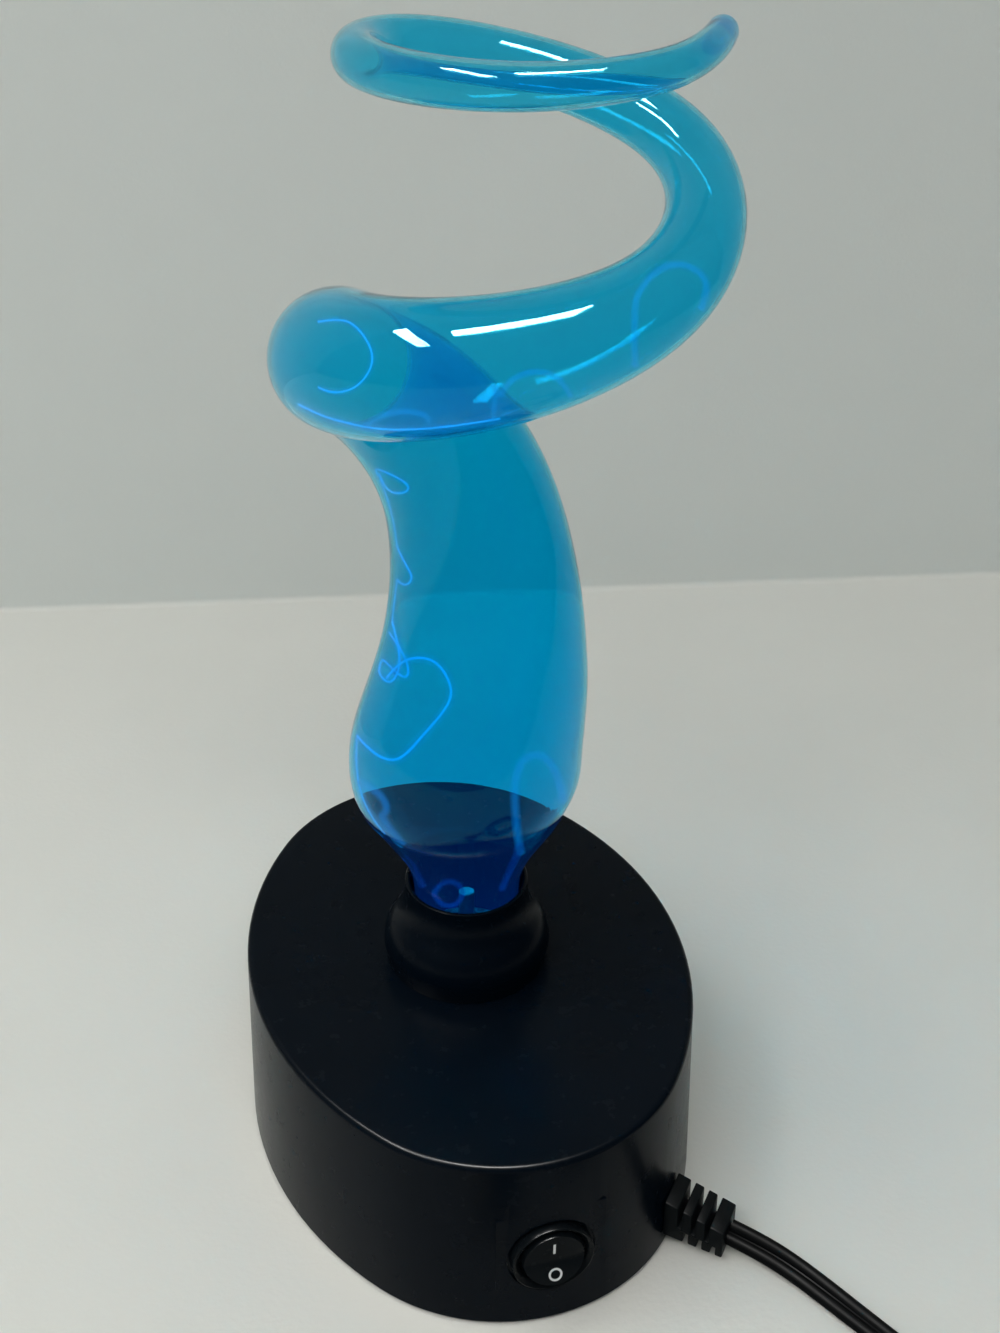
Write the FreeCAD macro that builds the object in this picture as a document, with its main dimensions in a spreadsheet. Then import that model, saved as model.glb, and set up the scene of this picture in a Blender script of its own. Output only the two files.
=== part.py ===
import FreeCAD, Part
import math
import os
import re
import Sketcher
from FreeCAD import Placement, Rotation, Vector

os.makedirs("parts", exist_ok=True)
doc = FreeCAD.newDocument("PlasmaLamp")

# Driving sizes in millimetres and degrees. The origin is the middle of the oval footprint on the table,
# +Z is up, the switch looks along -Y and the lead leaves the base at the front right.
SIZES = {
    # oval base, measured on its top face, with a slight draft that widens it downwards
    "base_half_width": 64.5,
    "base_half_length": 87.4,
    "base_end_radius": 53,
    "base_height": 60,
    "base_flare": 1.5,
    "base_edge": 1,
    "base_wall": 2.6,
    "base_top": 3,
    "rim_height": 1.2,
    # bottom cover with its rubber feet, screw posts and vent
    "cover_thickness": 2.6,
    "cover_clearance": 0.4,
    "foot_radius": 6.5,
    "foot_recess": 0.8,
    "foot_play": 0.1,
    "foot_across": 30,
    "foot_along": 60,
    "post_radius": 4,
    "post_across": 44,
    "post_along": 40,
    "screw_radius": 1.45,
    "screw_length": 11,
    "screw_clearance": 0.25,
    "vent_length": 26,
    "vent_width": 2.4,
    "vent_pitch": 6,
    "vent_count": 5,
    # bell-shaped collar on top of the base
    "collar_root_radius": 23.4,
    "collar_foot_radius": 24.4,
    "collar_foot_height": 6,
    "collar_lip_radius": 17.8,
    "collar_height": 28.5,
    "collar_lip_height": 2.5,
    "collar_wall": 1.2,
    "collar_floor": 3,
    "spigot_radius": 9,
    "spigot_bore": 7,
    "spigot_reach": 3,
    "spigot_play": 0.1,
    # blown glass: a straight neck, a flare, and the tube that climbs and coils
    "glass_wall": 1.5,
    "neck_radius": 15.3,
    "flare_bottom": 88,
    "flare_top": 133,
    "bulb_radius": 33.2,
    "tip_radius": 1.2,
    "stem_height": 4,
    "stem_play": 0.05,
    "electrode_radius": 2.2,
    "electrode_height": 24,
    "electrode_drop": 3,
    # round rocker switch in its recess in the front wall
    "switch_height": 25.5,
    "recess_radius": 13,
    "recess_depth": 2,
    "recess_plate": 2.5,
    "recess_pad": 15.5,
    "bezel_radius": 11.6,
    "bezel_thickness": 3.4,
    "bezel_opening": 9.6,
    "barrel_radius": 10.8,
    "barrel_depth": 13,
    "barrel_floor": 2.5,
    "barrel_clearance": 0.15,
    "rocker_radius": 9.2,
    "rocker_axis_depth": 3.2,
    "rocker_lean": 20,
    "rocker_back": 3.6,
    "rocker_facet": 20,
    "pin_radius": 1.2,
    "pin_play": 0.06,
    "pin_reach": 0.6,
    "pin_end_play": 0.3,
    "terminal_width": 4.8,
    "terminal_thickness": 0.8,
    "terminal_length": 8,
    "terminal_spacing": 7,
    # slotted strain relief, square to the wall at its own angle
    "relief_angle": -39,
    "relief_axis_height": 12,
    "relief_length": 17.8,
    "relief_root_height": 13.2,
    "relief_end_height": 9.6,
    "relief_sag": 3.8,
    "relief_width": 12.4,
    "relief_block": 4,
    "relief_slot": 1.4,
    "relief_pitch": 4.1,
    "relief_top_depth": 8,
    "relief_low_depth": 4.5,
    "relief_neck_height": 10,
    "relief_neck_width": 8.5,
    "relief_neck_play": 0.15,
    "clip_height": 15,
    "clip_width": 14,
    "clip_length": 3,
    "clip_plate": 2.5,
    # flat twin lead, its coil and the tie round it
    "cord_width": 7.4,
    "cord_thickness": 3.7,
    "coil_outer_radius": 53.5,
    "coil_pitch": 8.3,
    "coil_layer": 4.9,
    "climb_dip": 3.2,
    "tail_turn": 48,
    "tail_radius": 80,
    "tail_swing": 56,
    "tie_width": 6,
    "tie_thickness": 0.7,
    "tie_gap": 0.3,
    "tie_slack": 1.1,
    # two-blade plug
    "plug_length": 27,
    "plug_root_width": 12,
    "plug_waist": 15,
    "plug_width": 25,
    "plug_nose": 9,
    "plug_height": 14.6,
    "plug_edge": 1.6,
    "blade_spacing": 12.7,
    "blade_height": 6.35,
    "blade_thickness": 1.5,
    "blade_length": 17,
    "blade_root": 6,
    # driver board on its standoffs and what stands on it
    "board_width": 62,
    "board_length": 52,
    "board_thickness": 1.6,
    "board_y": -12,
    "standoff_width": 5,
    "standoff_height": 6,
    "standoff_inset": 4,
    "flyback_x": -24,
    "flyback_y": -4,
    "core_width": 26,
    "core_depth": 8,
    "core_height": 26,
    "core_leg": 6,
    "winding_radius": 6.8,
    "winding_play": 0.1,
    "capacitor_x": 22,
    "capacitor_y": -28,
    "capacitor_radius": 5,
    "capacitor_height": 17,
    "sink_x": 16,
    "sink_y": 2,
    "sink_width": 24,
    "sink_depth": 9,
    "sink_height": 24,
    "sink_plate": 1.6,
    "sink_fins": 5,
    "high_lead_radius": 1.5,
    "high_lead_rise": 10,
}
# The glass tube's bends: turn about the base's axis in degrees, swing out from that axis, height and tube radius.
BENDS = [
    (0, 0.1, 141, 32.2),
    (32, 10.5, 163, 27.7),
    (65, 19.5, 210, 22.3),
    (135, 25.5, 243, 18),
    (186, 38, 258.5, 17),
    (241, 53.5, 267, 16.5),
    (306, 68, 278.5, 10.8),
    (359, 65, 304, 8.1),
    (445, 35, 319, 7.3),
    (504, 31, 323, 6.1),
    (580, 31.5, 326.5, 5.7),
    (633, 47.5, 328.5, 5),
    (666, 62.5, 332, 4.4),
    (699, 57.5, 331, 3.7),
]
BEND_PARTS = ("turn", "swing", "height", "radius")

sheet = doc.addObject("Spreadsheet::Sheet", "Sizes")
for number, bend in enumerate(BENDS):
    for part, value in zip(BEND_PARTS, bend):
        SIZES[f"bend{number}_{part}"] = value
for row, (word, value) in enumerate(SIZES.items(), start=1):
    sheet.set(f"A{row}", word)
    sheet.set(f"B{row}", str(value))
    sheet.setAlias(f"B{row}", word)
doc.recompute()


def size(word):
    return float(sheet.get(word))


def formula(text):
    """The text with each size's name pointing at its cell."""
    return re.sub(
        r"[a-z][a-z0-9_]*",
        lambda found: "Sizes." + found.group() if found.group() in SIZES else found.group(),
        text,
    )


def bind(target, **properties):
    """Ties properties to formulas of the sizes; two underscores in a name stand for a dot."""
    for name, text in properties.items():
        target.setExpression(name.replace("__", "."), formula(str(text)))


def place(target, x="0", y="0", z="0", axis=(0, 0, 1), turn="0"):
    """Places a solid by formulas, turned about an axis by a formula in degrees."""
    target.Placement = Placement(Vector(), Rotation(Vector(*axis), 1))
    bind(
        target,
        Placement__Base__x=x,
        Placement__Base__y=y,
        Placement__Base__z=z,
        Placement__Rotation__Angle=turn,
    )
    return target


def cylinder(label, radius, height, x="0", y="0", z="0", axis=(0, 0, 1), turn="0"):
    made = doc.addObject("Part::Cylinder", label)
    bind(made, Radius=radius, Height=height)
    return place(made, x, y, z, axis, turn)


def box(label, long, wide, tall, x="0", y="0", z="0"):
    """A block centred on x and y, standing on z."""
    made = doc.addObject("Part::Box", label)
    bind(made, Length=long, Width=wide, Height=tall)
    return place(made, f"{x} - ({long}) / 2", f"{y} - ({wide}) / 2", z)


def cut(label, base, tool):
    made = doc.addObject("Part::Cut", label)
    made.Base = base
    made.Tool = tool
    return made


def fuse(label, *pieces):
    made = doc.addObject("Part::MultiFuse", label)
    made.Shapes = list(pieces)
    return made


def origin_plane(body, role):
    return next(feature for feature in body.Origin.OriginFeatures if feature.Role == role)


def sketch_on(body, name, role="XY_Plane", x="0", y="0", z="0", turn=None):
    """A sketch on one of the body's origin planes, moved by formulas and turned about its own Y axis."""
    made = body.newObject("Sketcher::SketchObject", name)
    made.AttachmentSupport = [(origin_plane(body, role), "")]
    made.MapMode = "FlatFace"
    if turn is not None:
        made.AttachmentOffset = Placement(Vector(), Rotation(Vector(0, 1, 0), 1))
        bind(made, AttachmentOffset__Rotation__Angle=turn)
    bind(made, AttachmentOffset__Base__x=x, AttachmentOffset__Base__y=y, AttachmentOffset__Base__z=z)
    return made


def worth(text):
    """The present value of a formula."""
    return float(sheet.evalExpression(formula(str(text))))


def dimension(sketch, name, text, *constraint):
    """One named dimension of a sketch, tied to a formula."""
    index = sketch.addConstraint(Sketcher.Constraint(*constraint, worth(text)))
    sketch.renameConstraint(index, name)
    sketch.setExpression("Constraints." + name, formula(text))


def draw_oval(sketch, out):
    """The base's oval, moved out by a formula: two side arcs and two end arcs that meet in line."""
    across = f"(base_half_width + {out})"
    along = f"(base_half_length + {out})"
    end = f"(base_end_radius + {out})"
    side = f"(({across} ^ 2 + ({along} - {end}) ^ 2 - {end} ^ 2) / (2 * ({across} - {end})))"
    joint_x = f"({side} - {across}) * {end} / ({side} - {end})"
    joint_y = f"{side} * ({along} - {end}) / ({side} - {end})"
    up = Vector(0, 0, 1)
    side_radius, end_radius = worth(side), worth(end)
    side_middle, end_middle = worth(across) - side_radius, worth(along) - end_radius
    lean = math.degrees(math.atan2(end_middle, -side_middle))
    for middle, radius, turn, half in (
        (Vector(side_middle, 0, 0), side_radius, 0, lean),
        (Vector(0, end_middle, 0), end_radius, 90, 90 - lean),
        (Vector(-side_middle, 0, 0), side_radius, 180, lean),
        (Vector(0, -end_middle, 0), end_radius, 270, 90 - lean),
    ):
        first, last = math.radians(turn - half), math.radians(turn + half)
        sketch.addGeometry(Part.ArcOfCircle(Part.Circle(middle, up, radius), first, last))
    for arc in range(4):
        sketch.addConstraint(Sketcher.Constraint("Coincident", arc, 2, (arc + 1) % 4, 1))
    for arc in range(4):
        sign_x = "-" if arc in (1, 2) else ""
        sign_y = "-" if arc in (2, 3) else ""
        dimension(sketch, f"radius{arc}", end if arc % 2 else side, "Radius", arc)
        dimension(sketch, f"across{arc}", f"{sign_x}({joint_x})", "DistanceX", -1, 1, arc, 2)
        dimension(sketch, f"along{arc}", f"{sign_y}({joint_y})", "DistanceY", -1, 1, arc, 2)


def draw_circle(sketch, radius, x="0", y="0"):
    middle = Vector(worth(x), worth(y), 0)
    number = sketch.addGeometry(Part.Circle(middle, Vector(0, 0, 1), worth(radius)))
    dimension(sketch, f"radius{number}", radius, "Radius", number)
    dimension(sketch, f"across{number}", x, "DistanceX", -1, 1, number, 3)
    dimension(sketch, f"up{number}", y, "DistanceY", -1, 1, number, 3)


def draw_outline(sketch, corners):
    """A closed outline of straight lines whose corners are pairs of formulas."""
    first = sketch.GeometryCount
    count = len(corners)
    points = [Vector(worth(x), worth(y), 0) for x, y in corners]
    for step, point in enumerate(points):
        sketch.addGeometry(Part.LineSegment(point, points[(step + 1) % count]))
    for step in range(count):
        after = first + (step + 1) % count
        sketch.addConstraint(Sketcher.Constraint("Coincident", first + step, 2, after, 1))
    for step, (x, y) in enumerate(corners):
        line = first + step
        dimension(sketch, f"across{line}", x, "DistanceX", -1, 1, line, 1)
        dimension(sketch, f"up{line}", y, "DistanceY", -1, 1, line, 1)


def draw_block(sketch, left, right, low, high):
    draw_outline(sketch, [(left, low), (right, low), (right, high), (left, high)])


def pad(body, sketch, length, back=False):
    made = body.newObject("PartDesign::Pad", sketch.Name + "Pad")
    made.Profile = sketch
    made.Reversed = back
    bind(made, Length=length)
    return made


def pocket(body, sketch, length, back=False):
    made = body.newObject("PartDesign::Pocket", sketch.Name + "Pocket")
    made.Profile = sketch
    made.Reversed = back
    bind(made, Length=length)
    return made


def turned(body, sketch, kind="PartDesign::Revolution", axis="V_Axis"):
    made = body.newObject(kind, sketch.Name + "Turned")
    made.Profile = sketch
    made.ReferenceAxis = (sketch, [axis])
    made.Angle = 360
    return made


def faces_of(shape, kind):
    """Names of a shape's faces of one kind of surface."""
    return [f"Face{number}" for number, face in enumerate(shape.Faces, 1) if face.Surface.TypeId == kind]


def flat_face_at(shape, height):
    """Name of the flat face whose middle is at one height."""
    for number, face in enumerate(shape.Faces, start=1):
        if face.Surface.TypeId == "Part::GeomPlane" and abs(face.CenterOfMass.z - height) < 0.01:
            return f"Face{number}"
    raise RuntimeError(f"no flat face at {height}")


def edges_at_height(shape, height):
    """Names of the edges that lie flat at one height."""
    names = []
    for number, edge in enumerate(shape.Edges, start=1):
        bounds = edge.BoundBox
        if abs(bounds.ZMin - height) < 0.01 and abs(bounds.ZMax - height) < 0.01:
            names.append(f"Edge{number}")
    return names


def new_body(label):
    made = doc.addObject("PartDesign::Body", label)
    made.Label = label
    return made


parts = []


def keep(made, label=None):
    """Registers a finished sub-part under its label."""
    if label:
        made.Label = label
    parts.append(made)
    return made


def solid_feature(label, shape, x=0, y=0, z=0):
    """A sub-part whose form comes from curves worked out below."""
    made = doc.addObject("Part::Feature", label)
    made.Shape = shape
    made.Placement = Placement(Vector(x, y, z), Rotation())
    return keep(made)


# Oval housing, open below: its outer wall leans out downwards, its top edge is eased and its inner wall is
# upright. Posts for the cover screws hang from its roof, and flat plates back the switch and the strain relief.
housing = new_body("base_housing")
oval = sketch_on(housing, "Oval", z="rim_height")
draw_oval(oval, "0")
shell = pad(housing, oval, "base_height - rim_height")
doc.recompute()
leaning = housing.newObject("PartDesign::Draft", "WallDraft")
leaning.Base = (shell, faces_of(shell.Shape, "Part::GeomCylinder"))
leaning.NeutralPlane = (shell, [flat_face_at(shell.Shape, size("base_height"))])
bind(leaning, Angle="atan(base_flare / base_height)")
doc.recompute()
if leaning.Shape.Volume < shell.Shape.Volume:
    leaning.Reversed = True
    doc.recompute()
brow = housing.newObject("PartDesign::Chamfer", "TopEdge")
brow.Base = (leaning, edges_at_height(leaning.Shape, size("base_height")))
bind(brow, Size="base_edge")
inside = sketch_on(housing, "Inside", z="rim_height")
draw_oval(inside, "(0 - base_wall)")
pocket(housing, inside, "base_height - rim_height - base_top", back=True)

cover_top = "rim_height + cover_thickness"
posts = sketch_on(housing, "Posts", z=cover_top)
pilots = sketch_on(housing, "Pilots", z=cover_top)
for side in ("", "-"):
    for end in ("", "-"):
        draw_circle(posts, "post_radius", f"{side}post_across", f"{end}post_along")
        draw_circle(pilots, "screw_radius", f"{side}post_across", f"{end}post_along")
pad(housing, posts, f"base_height - base_top / 2 - ({cover_top})")

switch_wall = "base_half_length + base_flare * (base_height - switch_height) / base_height"
recess_floor = f"{switch_wall} - recess_depth"
switch_plate = sketch_on(
    housing, "SwitchPlate", "XZ_Plane", y="switch_height", z=f"{recess_floor} - recess_plate"
)
draw_block(switch_plate, "-recess_pad", "recess_pad", "-recess_pad", "recess_pad")
pad(housing, switch_plate, "recess_plate")

relief_x = "base_end_radius * cos(relief_angle * 1 deg)"
relief_y = "(base_end_radius * sin(relief_angle * 1 deg) - base_half_length + base_end_radius)"


def relief_sketch(body, name, out):
    """A sketch square to the strain relief's axis, a distance out from the wall's top outline."""
    return sketch_on(
        body,
        name,
        "XZ_Plane",
        x=f"{relief_x} + ({out}) * cos(relief_angle * 1 deg)",
        y="relief_axis_height",
        z=f"-({relief_y}) - ({out}) * sin(relief_angle * 1 deg)",
        turn="relief_angle + 90",
    )


relief_wall = "base_flare * (base_height - relief_axis_height) / base_height"
relief_plate = relief_sketch(housing, "ReliefPlate", "0 - base_wall - clip_plate")
draw_block(relief_plate, "-clip_width / 2", "clip_width / 2", "-clip_height / 2", "clip_height / 2")
pad(housing, relief_plate, "clip_plate + base_wall / 2")

pocket(housing, pilots, "screw_length + 1", back=True)
recess = sketch_on(housing, "Recess", "XZ_Plane", y="switch_height", z=recess_floor)
draw_circle(recess, "recess_radius")
pocket(housing, recess, "recess_depth + base_flare + 1", back=True)
barrel_hole = sketch_on(housing, "BarrelHole", "XZ_Plane", y="switch_height", z=recess_floor)
draw_circle(barrel_hole, "barrel_radius + barrel_clearance")
pocket(housing, barrel_hole, "recess_plate + 3")
relief_hole = relief_sketch(housing, "ReliefHole", relief_wall + " + 1")
neck_across = "(relief_neck_width / 2 + relief_neck_play)"
neck_up = "(relief_neck_height / 2 + relief_neck_play)"
draw_block(relief_hole, "-" + neck_across, neck_across, "-" + neck_up, neck_up)
pocket(housing, relief_hole, f"clip_plate + base_wall + {relief_wall} + 2")
roof_holes = sketch_on(housing, "RoofHole", z="base_height")
draw_circle(roof_holes, "spigot_radius + spigot_play")
roof_cut = pocket(housing, roof_holes, "base_top + 1")
housing.Tip = roof_cut
keep(housing)

# Bottom cover: an oval plate inside the rim, with screw holes, shallow seats for the feet, a row of vent
# slots and four square standoffs for the driver board.
cover = new_body("bottom_cover")
plate = sketch_on(cover, "Plate", z="rim_height")
draw_oval(plate, "(0 - base_wall - cover_clearance)")
pad(cover, plate, "cover_thickness")
holes = sketch_on(cover, "ScrewHoles", z="rim_height")
seats = sketch_on(cover, "FootSeats", z="rim_height")
for side in ("", "-"):
    for end in ("", "-"):
        draw_circle(holes, "screw_radius + screw_clearance", f"{side}post_across", f"{end}post_along")
        draw_circle(seats, "foot_radius + foot_play", f"{side}foot_across", f"{end}foot_along")
pocket(cover, holes, "cover_thickness", back=True)
pocket(cover, seats, "foot_recess", back=True)
vent = sketch_on(cover, "Vent", z="rim_height")
draw_block(
    vent,
    "-vent_length / 2",
    "vent_length / 2",
    "-vent_pitch * (vent_count - 1) / 2 - vent_width / 2",
    "-vent_pitch * (vent_count - 1) / 2 + vent_width / 2",
)
slot = pocket(cover, vent, "cover_thickness", back=True)
slots = cover.newObject("PartDesign::LinearPattern", "Vents")
slots.Originals = [slot]
slots.Direction = (vent, ["V_Axis"])
bind(slots, Occurrences="vent_count", Length="vent_pitch * (vent_count - 1)")
cover.Tip = slots
standoffs = sketch_on(cover, "Standoffs", z=cover_top)
for side in ("", "-"):
    for end in ("", "-"):
        across = f"{side}(board_width / 2 - standoff_inset)"
        along = f"(board_y + 0{end or '+'}(board_length / 2 - standoff_inset))"
        draw_block(
            standoffs,
            f"{across} - standoff_width / 2",
            f"{across} + standoff_width / 2",
            f"{along} - standoff_width / 2",
            f"{along} + standoff_width / 2",
        )
cover.Tip = pad(cover, standoffs, "standoff_height")
keep(cover)

# Four rubber feet in their seats.
corner = 0
for side in ("", "-"):
    for end in ("", "-"):
        corner += 1
        foot = cylinder(f"foot_{corner}", "foot_radius", "rim_height + foot_recess")
        keep(place(foot, f"{side}foot_across", f"{end}foot_along"))

# Collar: a bell that sweeps in from a flared foot to a thin lip by two equal arcs, each of a few straight
# steps, with a straight bore for the glass over a floor. A short spigot below seats it in the base's roof.
SWEEP_STEPS = 3
sweep_rise = "(collar_height - collar_foot_height - collar_lip_height)"
sweep_in = "(collar_foot_radius - collar_lip_radius)"
sweep_radius = f"(({sweep_rise} ^ 2 + {sweep_in} ^ 2) / (4 * {sweep_in}))"
sweep_lean = f"asin({sweep_rise} / (2 * {sweep_radius}))"
collar_bore = "collar_lip_radius - collar_wall"
profile = [
    ("spigot_bore", "-spigot_reach"),
    ("spigot_radius", "-spigot_reach"),
    ("spigot_radius", "0"),
    ("collar_root_radius", "0"),
]
for step in range(SWEEP_STEPS + 1):
    lean = f"({sweep_lean} * {step} / {SWEEP_STEPS})"
    profile.append(
        (
            f"collar_foot_radius - {sweep_radius} * (1 - cos({lean}))",
            f"collar_foot_height + {sweep_radius} * sin({lean})",
        )
    )
for step in range(SWEEP_STEPS - 1, -1, -1):
    lean = f"({sweep_lean} * {step} / {SWEEP_STEPS})"
    profile.append(
        (
            f"collar_lip_radius + {sweep_radius} * (1 - cos({lean}))",
            f"collar_height - collar_lip_height - {sweep_radius} * sin({lean})",
        )
    )
profile += [
    ("collar_lip_radius", "collar_height"),
    (collar_bore, "collar_height"),
    (collar_bore, "collar_floor"),
    ("spigot_bore", "collar_floor"),
]
collar = new_body("neck_collar")
bell = sketch_on(collar, "Bell", "XZ_Plane", y="base_height")
draw_outline(bell, profile)
turned(collar, bell)
keep(collar)

# Blown glass tube. Its middle line is one cubic curve through the pull of the bends, and its radius follows
# the same curve law, so the wall is lofted through rings square to the line. Below the first bend the neck
# stands straight and flares in a smooth step.
FLARE_RINGS = 8
COIL_RINGS = 38
TIP_RINGS = 3
OUTER_FLATS = 18
INNER_FLATS = 10


def cubic(poles):
    """A clamped uniform cubic curve over its poles, from 0 to 1."""
    spans = len(poles) - 3
    knots = [step / spans for step in range(spans + 1)]
    curve = Part.BSplineCurve()
    curve.buildFromPolesMultsKnots(poles, [4] + [1] * (spans - 1) + [4], knots, False, 3)
    return curve


def bend_pole(number):
    turn = math.radians(size(f"bend{number}_turn"))
    swing = size(f"bend{number}_swing")
    return Vector(swing * math.cos(turn), swing * math.sin(turn), size(f"bend{number}_height"))


middle_line = cubic([Vector(0, 0, size("flare_top"))] + [bend_pole(number) for number in range(len(BENDS))])
radius_line = cubic(
    [Vector(size("bulb_radius"), 0, 0)]
    + [Vector(size(f"bend{number}_radius"), number + 1, 0) for number in range(len(BENDS))]
)


def glass_rings():
    """(middle, direction, outer radius) of each ring, from the neck's foot to the sealed tip."""
    up = Vector(0, 0, 1)
    neck = size("neck_radius")
    bulb = size("bulb_radius")
    low, high = size("flare_bottom"), size("flare_top")
    rings = [(Vector(0, 0, size("base_height") + size("collar_floor")), up, neck)]
    for step in range(FLARE_RINGS):
        share = step / FLARE_RINGS
        swell = share * share * (3 - 2 * share)
        rings.append((Vector(0, 0, low + (high - low) * share), up, neck + (bulb - neck) * swell))
    for step in range(COIL_RINGS):
        along = step / (COIL_RINGS - 1)
        direction = middle_line.tangent(along)[0]
        rings.append((middle_line.value(along), direction, radius_line.value(along).x))
    middle, direction, end = rings[-1]
    for step in range(1, TIP_RINGS + 1):
        lean = math.radians(75) * step / TIP_RINGS
        out = end * math.sin(lean)
        rings.append((middle + direction * out, direction, max(end * math.cos(lean), size("tip_radius"))))
    return rings


def tube_through(rings, flats):
    """A ruled loft through many-sided rings whose first corners follow the line without twisting."""
    outlines = []
    across = Vector(1, 0, 0)
    for middle, direction, radius in rings:
        across = (across - direction * across.dot(direction)).normalize()
        beside = direction.cross(across)
        corners = []
        for corner in range(flats):
            turn = math.tau * corner / flats
            corners.append(middle + (across * math.cos(turn) + beside * math.sin(turn)) * radius)
        outlines.append(Part.makePolygon(corners + corners[:1]))
    return Part.makeLoft(outlines, True, True)


rings = glass_rings()
wall = size("glass_wall")
inner_rings = [(middle, direction, radius - wall) for middle, direction, radius in rings[:-TIP_RINGS]]
inner_rings[0] = (inner_rings[0][0] - Vector(0, 0, 1), inner_rings[0][1], inner_rings[0][2])
glass = tube_through(rings, OUTER_FLATS).cut(tube_through(inner_rings, INNER_FLATS))
solid_feature("glass_spiral", glass)

# Glass foot that closes the neck, with the metal electrode sealed through it.
neck_foot = "base_height + collar_floor"
stem_radius = f"(neck_radius - glass_wall) * cos(180 deg / {INNER_FLATS}) - stem_play"
stem_disc = cylinder("StemDisc", stem_radius, "stem_height", z=neck_foot)
stem_bore = cylinder("StemBore", "electrode_radius + stem_play", "stem_height + 2", z=neck_foot + " - 1")
keep(cut("glass_stem", stem_disc, stem_bore))
keep(cylinder("electrode", "electrode_radius", "electrode_height", z=neck_foot + " - electrode_drop"))

# Switch body: a round bezel on the recess floor over a deep barrel that is open in front. Two holes in the
# barrel's sides hold the rocker's pins.
hinge_y = f"-({recess_floor}) - bezel_thickness + rocker_axis_depth"
bezel_front = f"-({recess_floor}) - bezel_thickness"
facing_back = dict(axis=(1, 0, 0), turn="-90")
bezel = cylinder(
    "Bezel", "bezel_radius", "bezel_thickness", y=bezel_front, z="switch_height", **facing_back
)
barrel = cylinder(
    "Barrel", "barrel_radius", "bezel_thickness + barrel_depth", y=bezel_front, z="switch_height", **facing_back
)
well = cylinder(
    "Well",
    "bezel_opening",
    "bezel_thickness + barrel_depth - barrel_floor + 1",
    y=bezel_front + " - 1",
    z="switch_height",
    **facing_back,
)
pin_holes = cylinder(
    "PinHoles",
    "pin_radius + pin_play",
    "2 * (bezel_opening + pin_reach + pin_end_play)",
    x="-(bezel_opening + pin_reach + pin_end_play)",
    y=hinge_y,
    z="switch_height",
    axis=(0, 1, 0),
    turn="90",
)
keep(cut("switch_body", cut("Socket", fuse("BodyBlank", bezel, barrel), well), pin_holes))

# Rocker: a short drum with a ball-shaped side, so that it clears the bezel at every angle. Its front is a
# shallow angle between two flats, and a pin stands out of each side on the hinge line.
ball = new_body("RockerBall")
belly = sketch_on(ball, "Belly", "XY_Plane", y=hinge_y, z="switch_height")
BELLY_STEPS = 4
belly_line = [("0", "rocker_back")]
for step in range(BELLY_STEPS + 1):
    lean = f"(asin(rocker_back / rocker_radius) - {step} * rocker_facet * 1 deg)"
    belly_line.append((f"rocker_radius * cos({lean})", f"rocker_radius * sin({lean})"))
belly_line.append(("0", belly_line[-1][1]))
draw_outline(belly, belly_line)
turned(ball, belly)

rocker_side = new_body("RockerSide")
wedge = sketch_on(
    rocker_side, "Wedge", "YZ_Plane", x=hinge_y, y="switch_height", z="-(rocker_radius + 1)"
)
reach = "(rocker_radius + 1)"
draw_outline(
    wedge,
    [
        ("rocker_back", "-" + reach),
        ("rocker_back", reach),
        ("-rocker_axis_depth", reach),
        ("-rocker_axis_depth", "0"),
        (f"-rocker_axis_depth - {reach} * tan(rocker_lean * 1 deg)", "-" + reach),
    ],
)
pad(rocker_side, wedge, "2 * " + reach)
drum = doc.addObject("Part::Common", "Drum")
drum.Base = ball
drum.Tool = rocker_side
pins = cylinder(
    "RockerPins",
    "pin_radius",
    "2 * (bezel_opening + pin_reach)",
    x="-(bezel_opening + pin_reach)",
    y=hinge_y,
    z="switch_height",
    axis=(0, 1, 0),
    turn="90",
)
keep(fuse("switch_rocker", drum, pins))

# Two flat terminals behind the switch.
barrel_back = f"-({recess_floor}) + barrel_depth"
for number, side in enumerate(("", "-"), start=1):
    keep(
        box(
            f"switch_terminal_{number}",
            "terminal_width",
            "terminal_length",
            "terminal_thickness",
            y=f"{barrel_back} + terminal_length / 2",
            z=f"switch_height {side or '+'} terminal_spacing / 2 - terminal_thickness / 2",
        )
    )

# Strain relief: a block whose side outline is a comb of slots, three cut down from the top and three cut up
# from below between them, on a neck that passes through the wall to a clip inside. It sags away from the wall.
SLOTS = 3
relief_top_slope = "(relief_root_height - relief_end_height) / (2 * relief_length)"


def sagged(height, out):
    """A height of the block less its sag at a distance out."""
    return f"{height} - relief_sag * ({out}) / relief_length"


def relief_edge(side, out):
    """Upper or lower side of the block at a distance out."""
    return sagged(f"{side}(relief_root_height / 2 - {relief_top_slope} * ({out}))", out)


comb = [("0", relief_edge("-", "0"))]
for slot_number in range(SLOTS):
    near = f"(relief_block + relief_slot + relief_pitch * {slot_number} + (relief_pitch - 2 * relief_slot) / 2)"
    far = f"({near} + relief_slot)"
    comb.append((near, relief_edge("-", near)))
    comb.append((near, sagged("relief_low_depth - relief_root_height / 2", near)))
    comb.append((far, sagged("relief_low_depth - relief_root_height / 2", far)))
    comb.append((far, relief_edge("-", far)))
comb.append(("relief_length", relief_edge("-", "relief_length")))
comb.append(("relief_length", relief_edge("", "relief_length")))
for slot_number in reversed(range(SLOTS)):
    near = f"(relief_block + relief_pitch * {slot_number})"
    far = f"({near} + relief_slot)"
    comb.append((far, relief_edge("", far)))
    comb.append((far, sagged("relief_root_height / 2 - relief_top_depth", far)))
    comb.append((near, sagged("relief_root_height / 2 - relief_top_depth", near)))
    comb.append((near, relief_edge("", near)))
comb.append(("0", relief_edge("", "0")))
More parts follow.
